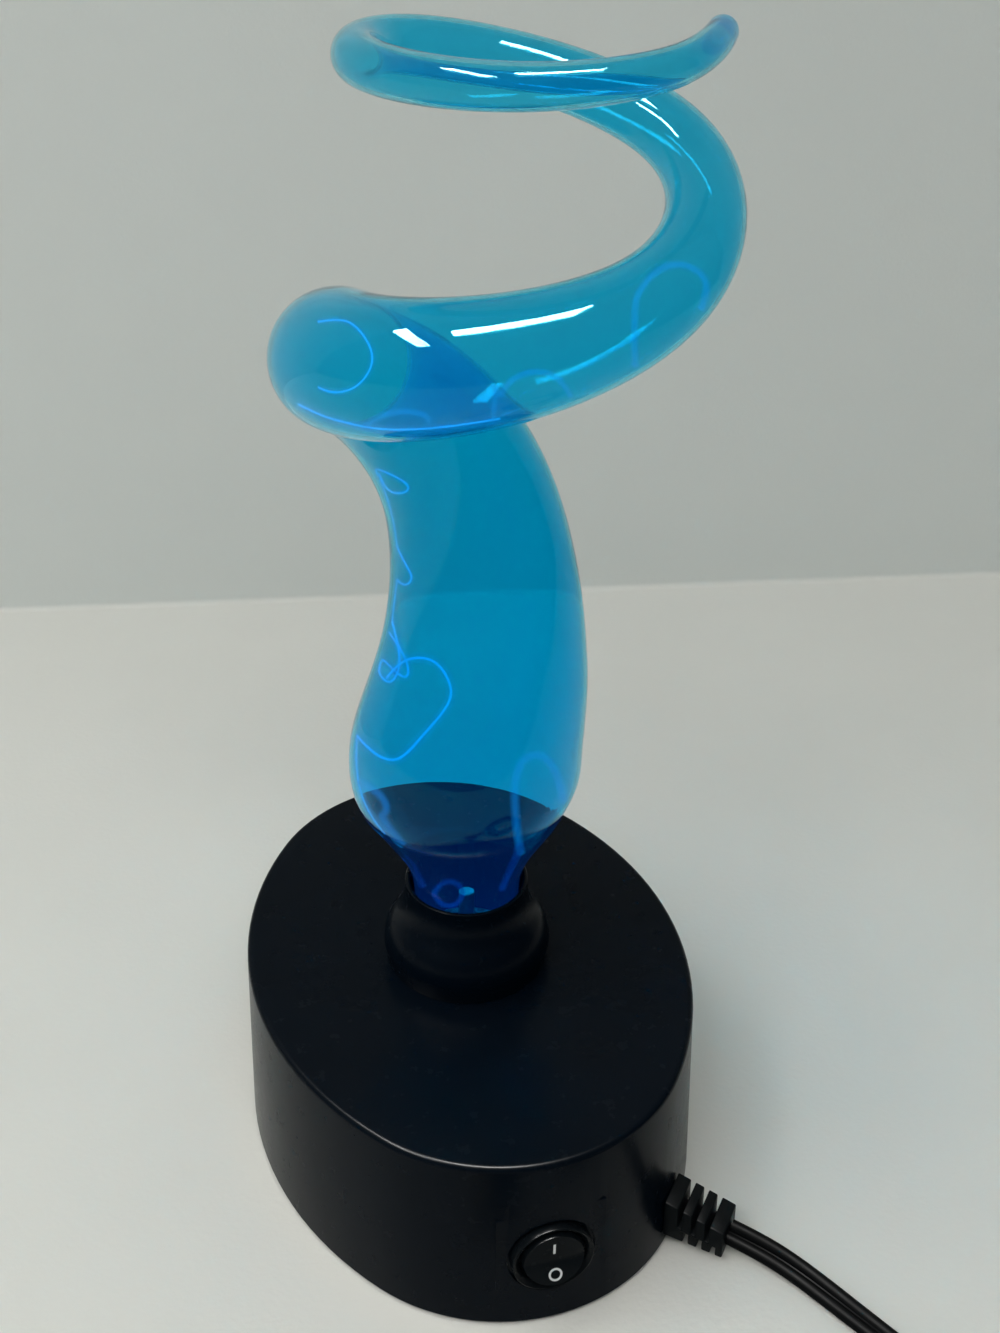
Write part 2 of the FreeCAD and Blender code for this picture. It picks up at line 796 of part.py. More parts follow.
relief_turn = dict(axis=(0, 0, 1), turn="relief_angle")
relief_root_x = f"{relief_x} + {relief_wall} * cos(relief_angle * 1 deg)"
relief_root_y = f"{relief_y} + {relief_wall} * sin(relief_angle * 1 deg)"
neck_length = f"({relief_wall} + base_wall + clip_plate + clip_length)"
relief = new_body("strain_relief")
place(relief, relief_root_x, relief_root_y, "relief_axis_height", **relief_turn)
comb_sketch = sketch_on(relief, "Comb", "XZ_Plane", z="0 - relief_width / 2")
draw_outline(comb_sketch, comb)
pad(relief, comb_sketch, "relief_width")
neck = sketch_on(relief, "Neck", "YZ_Plane", z="0 - " + neck_length)
draw_block(
    neck,
    "-relief_neck_width / 2",
    "relief_neck_width / 2",
    "-relief_neck_height / 2",
    "relief_neck_height / 2",
)
relief.Tip = pad(relief, neck, neck_length)
keep(relief)
clip = new_body("relief_clip")
place(clip, relief_root_x, relief_root_y, "relief_axis_height", **relief_turn)
clip_face = sketch_on(clip, "ClipFace", "YZ_Plane", z="0 - " + neck_length)
draw_block(clip_face, "-clip_width / 2", "clip_width / 2", "-clip_height / 2", "clip_height / 2")
draw_block(clip_face, "-" + neck_across, neck_across, "-" + neck_up, neck_up)
pad(clip, clip_face, "clip_length")
keep(clip)


# Flat twin lead, a strip of four flat sides. The coil winds in flat on the floor, climbs a layer in the
# half turn where it reverses, winds out again on top, and its tail leaves for the plug.
QUARTERS_IN = 9
QUARTERS_CLIMB = 2
QUARTERS_OUT = 7
LEAD_HEADING = -62
coil_low = size("tie_thickness") + size("tie_gap") + size("cord_thickness") / 2


def heading(degrees):
    return Vector(math.cos(math.radians(degrees)), math.sin(math.radians(degrees)), 0)


# Points that the lead's middle passes from the strain relief to the coil, chosen by hand: x, y, height.
relief_out = size("relief_length") + worth(relief_wall)
relief_end = Vector(worth(relief_x), worth(relief_y), size("relief_axis_height") - size("relief_sag"))
relief_end = relief_end + heading(size("relief_angle")) * relief_out
LEAD_POINTS = [
    (63.6, -86.6, 6.5),
    (70.8, -95.0, 4.3),
    (76.6, -104.4, 3.0),
    (81.6, -114.4, 2.85),
    (94.2, -139.6, 2.85),
]
lead_end = Vector(104.0, -158.4, coil_low)


def strip(middle, direction):
    """The lead's section, flat and square to its direction."""
    flat = direction.cross(Vector(0, 0, 1)).normalize() * (size("cord_width") / 2)
    high = flat.cross(direction).normalize() * (size("cord_thickness") / 2)
    corners = [middle + flat + high, middle - flat + high, middle - flat - high, middle + flat - high]
    return Part.makePolygon(corners + corners[:1])


def rounded_run(name, points):
    """Straight runs joined by arcs as large as their runs allow. Prints the arcs' radii."""
    edges = []
    radii = []
    start = points[0]
    for before, corner, after in zip(points, points[1:], points[2:]):
        into = (corner - before).normalize()
        away = (after - corner).normalize()
        turn = into.getAngle(away)
        reach = 0.45 * min((corner - before).Length, (after - corner).Length)
        radius = reach / math.tan(turn / 2)
        radii.append(round(radius, 1))
        first, last = corner - into * reach, corner + away * reach
        inward = (away - into).normalize()
        middle = corner + inward * (radius / math.cos(turn / 2) - radius)
        edges.append(Part.LineSegment(start, first).toShape())
        edges.append(Part.Arc(first, middle, last).toShape())
        start = last
    edges.append(Part.LineSegment(start, points[-1]).toShape())
    print(name, "bend radii in mm", radii)
    return Part.Wire(edges)


def arc_from(start, direction, end):
    """The arc that leaves start in a direction and passes through end."""
    chord = end - start
    across = chord - direction * chord.dot(direction)
    if across.Length < 0.0001:
        return Part.LineSegment(start, end).toShape()
    across.normalize()
    radius = chord.Length ** 2 / (2 * across.dot(chord))
    centre = start + across * radius
    middle = centre + ((start - centre) + (end - centre)).normalize() * radius
    return Part.Arc(start, middle, end).toShape()


def biarc(start, direction, end, leaving):
    """Two arcs in line with a direction at each end and with each other."""
    chord = end - start
    both = direction + leaving
    share = 2 * (1 - direction.dot(leaving))
    along = chord.dot(both)
    reach = (-along + math.sqrt(along**2 + share * chord.dot(chord))) / share
    joint = (start + direction * reach + end - leaving * reach) * 0.5
    first = arc_from(start, direction, joint)
    second = arc_from(end, leaving * -1, joint)
    return [first, second]


coil_start_turn = LEAD_HEADING + 90
coil_start = lead_end + heading(LEAD_HEADING) * size("cord_width")
coil_centre = coil_start - heading(coil_start_turn) * size("coil_outer_radius")


def coil_station(quarters):
    """Place on the coil's middle line a number of quarter turns along, clockwise."""
    pitch = size("coil_pitch") / 4
    layer = size("coil_layer")
    inner = size("coil_outer_radius") - pitch * QUARTERS_IN
    past = quarters - QUARTERS_IN
    if past <= 0:
        swing, up = inner - pitch * past, 0
    elif past <= QUARTERS_CLIMB:
        swing = inner - size("climb_dip") * math.sin(math.pi * past / QUARTERS_CLIMB) ** 2
        share = min(1, max(0, past - 0.5))
        up = layer * share * share * (3 - 2 * share)
    else:
        swing, up = inner + pitch * (past - QUARTERS_CLIMB), layer
    turn = heading(coil_start_turn - 90 * quarters)
    flat_centre = Vector(coil_centre.x, coil_centre.y, coil_low)
    return flat_centre + turn * swing + Vector(0, 0, up)


def coil_direction(quarters):
    step = 0.001
    return (coil_station(quarters + step) - coil_station(quarters - step)).normalize()


QUARTERS = QUARTERS_IN + QUARTERS_CLIMB + QUARTERS_OUT
coil_edges = [Part.LineSegment(Vector(lead_end.x, lead_end.y, coil_low), coil_station(0)).toShape()]
here, going = coil_station(0), heading(LEAD_HEADING)
for quarter in range(1, QUARTERS + 1):
    there, leaving = coil_station(quarter), coil_direction(quarter)
    coil_edges += biarc(here, going, there, leaving)
    here, going = there, leaving
tail_turn = coil_start_turn - 90 * QUARTERS - size("tail_turn")
tail_end = Vector(coil_centre.x, coil_centre.y, 0) + heading(tail_turn) * size("tail_radius")
tail_end.z = size("plug_height") / 2
tail_heading = tail_turn - 90 + size("tail_swing")
coil_edges += biarc(here, going, tail_end, heading(tail_heading))
plug_root = tail_end + heading(tail_heading) * size("cord_width")
coil_edges.append(Part.LineSegment(tail_end, plug_root).toShape())
coil_line = Part.Wire(coil_edges)


GAP_STEP = 6


def least_gap(wound):
    """Least gap between two turns of the coil, on its cuts by upright planes through its centre."""
    least = size("cord_width")
    for turn in range(0, 180, GAP_STEP):
        across = heading(turn)
        cuts = wound.slice(across, across.dot(coil_centre))
        for number, one in enumerate(cuts):
            for other in cuts[number + 1:]:
                least = min(least, one.distToShape(other)[0])
    return least


lead_line = rounded_run("lead", [relief_end] + [Vector(*point) for point in LEAD_POINTS] + [lead_end])
lead_start = strip(relief_end, (Vector(*LEAD_POINTS[0]) - relief_end).normalize())
lead_sweep = Part.BRepOffsetAPI.MakePipeShell(lead_line)
lead_sweep.setBiNormalMode(Vector(0, 0, 1))
lead_sweep.add(lead_start)
lead_sweep.build()
lead_sweep.makeSolid()
lead = lead_sweep.shape()
coil_strip = strip(Vector(lead_end.x, lead_end.y, coil_low), heading(LEAD_HEADING))
coil = coil_line.makePipeShell([coil_strip], True, False)
print("coil's least gap to itself in mm", round(least_gap(coil), 2))
strip_area = Part.Face(coil_strip).Area
for name, shape, line in (("lead", lead, lead_line), ("coil", coil, coil_line)):
    print(name, "length", round(line.Length), "volume", round(shape.Volume), "of", round(strip_area * line.Length))
solid_feature("cord_lead", lead)
solid_feature("cord_coil", coil)

# Tie: a flat band round the coil, where three turns lie below two.
tie_turn = coil_start_turn - 90
tie_swing = "(coil_outer_radius - 1.25 * coil_pitch)"
bundle = "(2 * coil_pitch + cord_width + 2 * tie_gap)"
stack = "(coil_layer + cord_thickness + tie_gap + tie_slack)"
band = box("Band", f"{bundle} + 2 * tie_thickness", "tie_width", f"{stack} + 2 * tie_thickness")
band_hole = box("BandHole", bundle, "tie_width + 2", stack, z="tie_thickness")
tie = cut("cord_tie", band, band_hole)
tie_spot = coil_centre + heading(tie_turn) * worth(tie_swing)
tie.Placement = Placement(Vector(tie_spot.x, tie_spot.y, 0), Rotation(Vector(0, 0, 1), tie_turn))
keep(tie)

# Plug: a flat body that widens from the lead to a straight front with two blades.
plug_place = Placement(Vector(plug_root.x, plug_root.y, 0), Rotation(Vector(0, 0, 1), tail_heading))
plug = new_body("plug_body")
plug_plan = sketch_on(plug, "PlugPlan")
draw_outline(
    plug_plan,
    [
        ("0", "-plug_root_width / 2"),
        ("plug_nose", "-plug_waist / 2"),
        ("plug_length - plug_nose", "-plug_width / 2"),
        ("plug_length", "-plug_width / 2"),
        ("plug_length", "plug_width / 2"),
        ("plug_length - plug_nose", "plug_width / 2"),
        ("plug_nose", "plug_waist / 2"),
        ("0", "plug_root_width / 2"),
    ],
)
plug_pad = pad(plug, plug_plan, "plug_height")
doc.recompute()
eased = plug.newObject("PartDesign::Chamfer", "PlugEdges")
eased.Base = (plug_pad, edges_at_height(plug_pad.Shape, 0) + edges_at_height(plug_pad.Shape, size("plug_height")))
bind(eased, Size="plug_edge")
slots_face = sketch_on(plug, "BladeSlots", "YZ_Plane", z="plug_length - blade_root")
blade_low = "plug_height / 2 - blade_height / 2"
for side in ("-", "+"):
    middle = f"0 {side} blade_spacing / 2"
    draw_block(
        slots_face,
        f"{middle} - blade_thickness / 2",
        f"{middle} + blade_thickness / 2",
        blade_low,
        "plug_height / 2 + blade_height / 2",
    )
plug.Tip = pocket(plug, slots_face, "blade_root + 1", back=True)
plug.Placement = plug_place
keep(plug)
for number, side in enumerate((-1, 1), start=1):
    blade = doc.addObject("Part::Box", f"plug_blade_{number}")
    bind(blade, Length="blade_root + blade_length", Width="blade_thickness", Height="blade_height")
    corner = Vector(
        size("plug_length") - size("blade_root"),
        (side * size("blade_spacing") - size("blade_thickness")) / 2,
        worth(blade_low),
    )
    blade.Placement = plug_place.multiply(Placement(corner, Rotation()))
    keep(blade)

# Driver board on the cover's standoffs.
board_low = f"({cover_top} + standoff_height)"
board_top = f"({board_low} + board_thickness)"
keep(box("driver_board", "board_width", "board_length", "board_thickness", y="board_y", z=board_low))

# High-voltage transformer: a frame-shaped core with a winding round its right leg.
core_block = box("CoreBlock", "core_width", "core_depth", "core_height", "flyback_x", "flyback_y", board_top)
core_window = box(
    "CoreWindow",
    "core_width - 2 * core_leg",
    "core_depth + 2",
    "core_height - 2 * core_leg",
    "flyback_x",
    "flyback_y",
    board_top + " + core_leg",
)
keep(cut("flyback_core", core_block, core_window))
winding_x = "flyback_x + (core_width - core_leg) / 2"
winding_tall = "core_height - 2 * core_leg - 2 * winding_play"
winding_low = board_top + " + core_leg + winding_play"
winding_drum = cylinder("WindingDrum", "winding_radius", winding_tall, winding_x, "flyback_y", winding_low)
winding_hole = box(
    "WindingHole",
    "core_leg + 2 * winding_play",
    "core_depth + 2 * winding_play",
    "core_height",
    winding_x,
    "flyback_y",
    board_top,
)
keep(cut("flyback_winding", winding_drum, winding_hole))
keep(cylinder("capacitor", "capacitor_radius", "capacitor_height", "capacitor_x", "capacitor_y", board_top))

# Heat sink: a plate with upright fins, drawn as a comb in plan.
sink = new_body("heat_sink")
place(sink, "sink_x", "sink_y", board_top)
fins = [("-sink_width / 2", "0"), ("sink_width / 2", "0")]
fin_pitch = "((sink_width - sink_plate) / (sink_fins - 1))"
for fin in reversed(range(int(size("sink_fins")))):
    near = f"(-sink_width / 2 + {fin_pitch} * {fin})"
    fins.append((f"{near} + sink_plate", "sink_depth"))
    fins.append((near, "sink_depth"))
    if fin:
        fins.append((near, "sink_plate"))
        fins.append((f"{near} - {fin_pitch} + sink_plate", "sink_plate"))
fin_plan = sketch_on(sink, "FinPlan")
draw_outline(fin_plan, fins)
pad(sink, fin_plan, "sink_height")
keep(sink)

# High-voltage lead from the top of the winding's core to the electrode.
high_foot = Vector(worth(winding_x), worth("flyback_y"), worth(board_top) + size("core_height"))
high_head = Vector(0, 0, worth(neck_foot) - size("electrode_drop"))
low_corner = high_foot + Vector(0, 0, size("high_lead_rise"))
high_line = rounded_run("high-voltage lead", [high_foot, low_corner, Vector(0, 0, low_corner.z), high_head])
HIGH_LEAD_SIDES = 6
high_ring = Part.makePolygon(
    [high_foot + heading(360 / HIGH_LEAD_SIDES * side) * size("high_lead_radius") for side in range(HIGH_LEAD_SIDES + 1)]
)
solid_feature("high_voltage_lead", high_line.makePipeShell([high_ring], True, False))

doc.recompute()
for made in doc.Objects:
    if "Invalid" in made.State or "Error" in made.State:
        raise RuntimeError(f"{made.Name} did not build: {made.State}")
for made in parts:
    if made.Shape.isNull() or not made.Shape.isValid():
        raise RuntimeError(f"{made.Label} has no valid shape")
    made.Shape.exportStep(f"parts/{made.Label}.step")
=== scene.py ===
import math

import bmesh
import bpy
from mathutils import Matrix, Vector


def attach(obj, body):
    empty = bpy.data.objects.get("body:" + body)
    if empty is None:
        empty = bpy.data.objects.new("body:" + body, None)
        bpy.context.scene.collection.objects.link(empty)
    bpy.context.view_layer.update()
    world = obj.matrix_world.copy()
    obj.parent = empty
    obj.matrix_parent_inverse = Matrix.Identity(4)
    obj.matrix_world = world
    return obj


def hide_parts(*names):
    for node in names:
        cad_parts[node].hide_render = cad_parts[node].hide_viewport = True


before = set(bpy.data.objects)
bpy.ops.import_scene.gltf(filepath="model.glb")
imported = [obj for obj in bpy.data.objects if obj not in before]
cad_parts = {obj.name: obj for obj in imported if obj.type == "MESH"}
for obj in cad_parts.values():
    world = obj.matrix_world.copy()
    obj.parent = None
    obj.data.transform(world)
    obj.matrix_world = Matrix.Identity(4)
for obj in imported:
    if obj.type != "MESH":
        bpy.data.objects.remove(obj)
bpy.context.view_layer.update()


# Table and backdrop: one pale matt board that lies flat under the lamp and turns up behind it in a
# tight bend. It is painted board with a faint mottle, and no part of the lamp.
class Shade:
    """One socket of a material. Arithmetic on it adds the Math nodes that it needs."""

    def __init__(self, tree, socket=None):
        self.tree = tree
        self.socket = socket

    def node(self, kind, settings, values, out=0):
        """Adds any node: its settings come first, then the values or links of its sockets."""
        made = self.tree.nodes.new(kind)
        for name, value in settings.items():
            if name == "stops":
                stops = made.color_ramp.elements
                while len(stops) < len(value):
                    stops.new(1)
                for stop, (place, colour) in zip(stops, value):
                    stop.position = place
                    stop.color = (*colour, 1)
            else:
                setattr(made, name, value)
        for name, value in values.items():
            socket = made.inputs[name]
            if isinstance(value, Shade):
                self.tree.links.new(value.socket, socket)
            else:
                socket.default_value = value
        return Shade(self.tree, made.outputs[out]) if made.outputs else made

    def maths(self, operation, *terms):
        return self.node("ShaderNodeMath", {"operation": operation}, dict(enumerate(terms)))

    def __add__(self, other):
        return self.maths("ADD", self, other)

    def __mul__(self, other):
        return self.maths("MULTIPLY", self, other)

    __radd__ = __add__
    __rmul__ = __mul__

    def place(self):
        """Where a point lies on the piece, in metres."""
        return self.node("ShaderNodeTexCoord", {}, {}, "Object")

    def grain(self, size, detail=2, roughness=0.5):
        """Soft noise with blotches of about one size, in metres, from 0 to 1."""
        values = {"Scale": 1 / size, "Detail": detail, "Roughness": roughness}
        return self.node("ShaderNodeTexNoise", {}, {"Vector": self.place(), **values})

    def between(self, share, low, high):
        """A colour that goes from low to high as share goes from 0 to 1."""
        return self.mix({"Factor": share, "A": (*low, 1), "B": (*high, 1)})

    def mix(self, values):
        """Mixes colours. The node's sockets share their names, so only enabled ones are used."""
        made = self.tree.nodes.new("ShaderNodeMix")
        made.data_type = "RGBA"
        for name, value in values.items():
            socket = next(s for s in made.inputs if s.enabled and s.name == name)
            if isinstance(value, Shade):
                self.tree.links.new(value.socket, socket)
            else:
                socket.default_value = value
        return Shade(self.tree, next(s for s in made.outputs if s.enabled))

    def bump(self, height, depth):
        """A normal that follows a height, which counts for some depth in metres."""
        return self.node("ShaderNodeBump", {}, {"Height": height, "Distance": depth})


def finish(name, fixed, varied):
    """A material of one shader.

    fixed holds its plain values, and varied makes the links that differ from place to place.
    """
    material = bpy.data.materials.new(name)
    material.use_nodes = True
    material.node_tree.nodes.clear()
    start = Shade(material.node_tree)
    shader = start.node("ShaderNodeBsdfPrincipled", {}, {**fixed, **varied(start)})
    start.node("ShaderNodeOutputMaterial", {}, {"Surface": shader})
    return material


def placed(name, data):
    """Puts a new object into the scene."""
    thing = bpy.data.objects.new(name, data)
    bpy.context.scene.collection.objects.link(thing)
    return thing


def make(name, work, material, crease=30):
    """Turns mesh work into an object, smooth except along edges sharper than the crease."""
    mesh = bpy.data.meshes.new(name)
    work.to_mesh(mesh)
    work.free()
    mesh.shade_smooth()
    mesh.set_sharp_from_angle(angle=math.radians(crease))
    mesh.materials.append(material)
    return placed(name, mesh)


view_turn, wall_turn = -16.27, 4.9
looking = Matrix.Rotation(math.radians(view_turn), 4, "Z")
wall_facing = looking @ Matrix.Rotation(math.radians(wall_turn), 4, "Z")
wall_distance = 0.3095
bend_radius = 0.0025
board_front, board_half_width, wall_height = -1.2, 2, 1.6
paint_change = 0.003
board = bmesh.new()
front = [
    board.verts.new((-board_half_width, y, 0)) for y in (board_front, wall_distance - bend_radius)
]
board.edges.new(front)
bmesh.ops.spin(
    board,
    geom=[front[1]],
    cent=(0, wall_distance - bend_radius, bend_radius),
    axis=(1, 0, 0),
    angle=math.radians(90),
    steps=8,
)
board.verts.ensure_lookup_table()
top = max(board.verts, key=lambda v: v.co.z)
risen = bmesh.ops.extrude_vert_indiv(board, verts=[top])["verts"]
bmesh.ops.translate(board, verts=risen, vec=(0, 0, wall_height))
swept = bmesh.ops.extrude_edge_only(board, edges=board.edges[:])["geom"]
far_side = [g for g in swept if isinstance(g, bmesh.types.BMVert)]
bmesh.ops.translate(board, verts=far_side, vec=(2 * board_half_width, 0, 0))
bmesh.ops.transform(board, matrix=wall_facing, verts=board.verts)
bmesh.ops.recalc_face_normals(board, faces=board.faces)
board_paint = finish(
    "board_paint",
    {"Roughness": 0.8, "Specular IOR Level": 0},
    lambda s: {
        "Base Color": s.mix(
            {
                "Factor": s.node(
                    "ShaderNodeMapRange",
                    {"interpolation_type": "SMOOTHSTEP"},
                    {
                        "Value": s.node("ShaderNodeSeparateXYZ", {}, {"Vector": s.place()}, "Z"),
                        "From Min": 0,
                        "From Max": paint_change,
                    },
                ),
                "A": s.between(s.grain(0.06, 5, 0.6), (0.68, 0.68, 0.64), (0.72, 0.72, 0.68)),
                "B": s.between(s.grain(0.3, 3), (0.65, 0.68, 0.66), (0.69, 0.72, 0.7)),
            }
        ),
        "Normal": s.bump(s.grain(0.002, 3), 0.0001),
    },
)
make("board", board, board_paint, 80)

# Room light: two long bright fittings on the ceiling that only the shiny pieces mirror, wide soft
# lamps near them and a broad panel on the left that fill the room, and a pale room that is
# brightest overhead.
white, warm_white = (1, 1, 1), (1, 0.99, 0.96)
for name, place, turn, lean, sides, watts, colour, mirrored in (
    ("fill_front", (-0.2, -0.9, 1.3), 0, 0, (1.3, 0.3), 11.5, warm_white, False),
    ("fill_left", (-1.15, -0.2, 2.15), 90, 0, (2.4, 0.3), 17, warm_white, False),
    ("fitting_across", (-0.15, -0.34, 2), 0, 0, (0.92, 0.34), 190, warm_white, True),
    ("fitting_left", (-1.15, 0.175, 2), 90, 0, (2.2, 0.24), 250, warm_white, True),
    ("panel", (-1.6, -0.3, 1.1), -80, 60, (1.6, 1.2), 6, white, False),
):
    light = bpy.data.lights.new(name, "AREA")
    light.shape = "RECTANGLE"
    light.size, light.size_y = sides
    light.energy = watts
    light.color = colour
    lamp = placed(name, light)
    lamp.matrix_world = (
        looking
        @ Matrix.Translation(place)
        @ Matrix.Rotation(math.radians(turn), 4, "Z")
        @ Matrix.Rotation(math.radians(lean), 4, "X")
    )
    lamp.visible_diffuse = not mirrored
    lamp.visible_glossy = mirrored
    lamp.visible_transmission = mirrored
world = bpy.data.worlds.new("room")
world.use_nodes = True
world.node_tree.nodes.clear()
room = Shade(world.node_tree)
seen = room.node("ShaderNodeTexCoord", {}, {}, "Generated")


def facing(way):
    """How far a direction of the room points one way, from -1 to 1."""
    dot = {"operation": "DOT_PRODUCT"}
    return room.node("ShaderNodeVectorMath", dot, {0: seen, 1: way}, "Value")


leftward = looking.to_3x3() @ Vector((-1, 0, 0))
all_round, overhead, from_left = 0.12, 0.32, 0.12
level = (
    all_round
    + overhead * room.maths("MAXIMUM", facing((0, 0, 1)), 0)
    + from_left * facing(leftward)
)
backing = room.node("ShaderNodeBackground", {}, {"Color": (0.96, 1, 0.99, 1), "Strength": level})
room.node("ShaderNodeOutputWorld", {}, {"Surface": backing})
bpy.context.scene.world = world
bpy.context.scene.view_settings.view_transform = "Standard"

# Camera: stands where the photograph was taken from, in front of the lamp and above it, and looks
# down at it. Its focal length is in pixels of an image of 1000 by 1333.
focal_pixels, image_height = 1925, 1333
camera_place = (0.0093, -0.4374, 0.4425)
downward, roll = 32.77, 0.41
camera = bpy.data.cameras.new("camera")
camera.sensor_fit = "VERTICAL"
camera.sensor_height = 36
camera.lens = camera.sensor_height * focal_pixels / image_height
viewer = placed("camera", camera)
viewer.matrix_world = (
    looking
    @ Matrix.Translation(camera_place)
    @ Matrix.Rotation(math.radians(90 - downward), 4, "X")
    @ Matrix.Rotation(math.radians(roll), 4, "Z")
)
bpy.context.scene.camera = viewer

# Lead: flat twin flex in black vinyl with a groove between its two cores. It leaves the strain
# relief half turned on edge and lies down on the table, and its spare length is wound flat and held
# by a plastic tie.
relief_end = (55.956, -79.711, 8.2)
lead_points = [
    (63.6, -86.6, 6.5),
    (70.8, -95.0, 4.3),
    (76.6, -104.4, 3.0),
    (81.6, -114.4, 2.85),
    (94.2, -139.6, 2.85),
]
lead_end = Vector((104.0, -158.4, 2.85))
flex_width = 7.4
flex_thickness = 3.7
coil_radius = 53.5
coil_pitch = 8.3
coil_layer = 4.9
climb_dip = 3.2
quarters_wound, quarters_inward, quarters_climbing = 18, 9, 2
lead_heading = -62
coil_turn = lead_heading + 90
tail_turn, plug_turn = 48, 56
tail_reach, plug_height = 80, 7.3
straight = 16


def heading(degrees):
    """The level direction that many degrees round from the right."""
    return Vector((math.cos(math.radians(degrees)), math.sin(math.radians(degrees)), 0))


def settled(thing):
    """The mesh that an object comes to, with its curve swept and its modifiers applied."""
    state = bpy.context.evaluated_depsgraph_get()
    return bpy.data.meshes.new_from_object(thing.evaluated_get(state))


coil_centre = lead_end + heading(lead_heading) * flex_width - heading(coil_turn) * coil_radius
points_each_turn = 16
quarter = points_each_turn // 4
widen = 1 / math.cos(math.pi / points_each_turn)
wound = []
inner = coil_radius - coil_pitch * quarters_inward / 4
for step in range(1, quarters_wound * quarter):
    quarters = step / quarter
    past = quarters - quarters_inward
    if past <= 0:
        swing, up = inner - coil_pitch / 4 * past, 0
    elif past <= quarters_climbing:
        swing = inner - climb_dip * math.sin(math.pi * past / quarters_climbing) ** 2
        share = min(1, max(0, past - 0.5))
        up = coil_layer * share * share * (3 - 2 * share)
    else:
        swing, up = inner + coil_pitch / 4 * (past - quarters_climbing), coil_layer
    way = heading(coil_turn - 90 * quarters)
    wound.append(coil_centre + way * swing * widen + Vector((0, 0, up)))
outer = inner + coil_pitch * (quarters_wound - quarters_inward - quarters_climbing) / 4
last_way = coil_turn - 90 * quarters_wound
tail_start = coil_centre + heading(last_way) * outer + Vector((0, 0, coil_layer))
tail_leaving = last_way - 90
tail_end = coil_centre + heading(last_way - tail_turn) * tail_reach
tail_end.z = plug_height
tail_heading = tail_leaving - tail_turn + plug_turn
plug_root = tail_end + heading(tail_heading) * flex_width
tail = [
    tail_start,
    tail_start + heading(tail_leaving) * straight,
    tail_end - heading(tail_heading) * straight,
    tail_end,
    plug_root,
]
route_points = [relief_end, *lead_points, lead_end, *wound, *tail]
route = bpy.data.curves.new("lead_route", "CURVE")
route.dimensions = "3D"
route.twist_mode = "Z_UP"
route.resolution_u = 6
spline = route.splines.new("NURBS")
spline.points.add(len(route_points) - 1)
half_on_edge = math.radians(45)
for number, (point, place) in enumerate(zip(spline.points, route_points)):
    point.co = (*(Vector(place) / 1000), 1)
    point.tilt = half_on_edge * max(0, 1 - number / len(lead_points))
spline.order_u = 3
spline.use_endpoint_u = True
line = placed("lead_route", route)
lead_path = [tuple(vertex.co) for vertex in settled(line).vertices]

section = bpy.data.curves.new("flex_section", "CURVE")
outline = section.splines.new("POLY")
core = flex_thickness / 2000
middle = flex_width / 2000 - core
groove_turn = 154
lobe_turns = [math.radians(turn) for turn in range(-groove_turn, groove_turn + 1, 22)]
lobe = [(middle + core * math.cos(turn), core * math.sin(turn)) for turn in lobe_turns]
round_line = lobe + [(-x, -y) for x, y in lobe]
outline.points.add(len(round_line) - 1)
for point, (x, y) in zip(outline.points, round_line):
    point.co = (x, y, 0, 1)
outline.use_cyclic_u = True
section_shape = placed("flex_section", section)
route.bevel_mode = "OBJECT"
route.bevel_object = section_shape
route.use_fill_caps = True
flex = bmesh.new()
flex.from_mesh(settled(line))
bmesh.ops.remove_doubles(flex, verts=flex.verts, dist=0.000001)
bmesh.ops.recalc_face_normals(flex, faces=flex.faces)
flex_vinyl = finish(
    "flex_vinyl",
    {"Specular IOR Level": 0.03},
    lambda s: {
        "Base Color": s.between(s.grain(0.01, 3), (0.001, 0.0015, 0.002), (0.003, 0.0035, 0.004)),
        "Roughness": s.grain(0.004, 4) * 0.16 + 0.4,
        "Normal": s.bump(s.grain(0.0006, 2), 0.00002),
    },
)
lead = make("lead", flex, flex_vinyl, 40)
bpy.data.objects.remove(line)
bpy.data.objects.remove(section_shape)
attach(lead, "lamp")
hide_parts("cord_lead", "cord_coil")

# Glass envelope: blown blue glass, drawn from a straight neck through a flared belly into a tube
# that coils and thins to a sealed tip. The neck stands in the collar.
glass_points = [
    (0, 0, 63, 15.3),
    (0, 0, 70, 15.3),
    (0, 0, 79, 15.3),
    (0, 0, 89, 14.9),
    (0, 0, 99, 18.2),
    (0, 0, 109, 24.5),
    (0, 0, 120, 31),
    (-0.8, -0.5, 131, 34.4),
    (8.9, 5.6, 163, 27.7),
    (8.2, 17.7, 210, 22.3),
    (-18, 18, 243, 18),
    (-37.8, -4, 258.5, 17),
    (-25.9, -46.8, 267, 16.5),
    (40, -55, 278.5, 10.8),
    (65, -1.1, 304, 8.1),
    (3.1, 34.9, 319, 7.3),
    (-25.1, 18.2, 323, 6.1),
    (-24.1, -20.2, 326.5, 5.7),
    (2.5, -47.4, 328.5, 5),
    (36.7, -50.6, 331.7, 4.4),
    (50.5, -26.5, 331.2, 3.9),
    (53.7, -20.6, 330.8, 3.7),
]
glass_route = bpy.data.curves.new("glass_route", "CURVE")
glass_route.dimensions = "3D"
glass_route.resolution_u = 14
glass_line = glass_route.splines.new("NURBS")
glass_line.points.add(len(glass_points) - 1)
for point, (x, y, z, radius) in zip(glass_line.points, glass_points):
    point.co = (x / 1000, y / 1000, z / 1000, 1)
    point.radius = radius / 1000
glass_line.order_u = 4
glass_line.use_endpoint_u = True
glass_route.bevel_depth = 1
glass_route.bevel_resolution = 22
glass_tube = placed("glass_route", glass_route)
blown = bmesh.new()
blown.from_mesh(settled(glass_tube))
bpy.data.objects.remove(glass_tube)
bmesh.ops.remove_doubles(blown, verts=blown.verts, dist=0.000001)
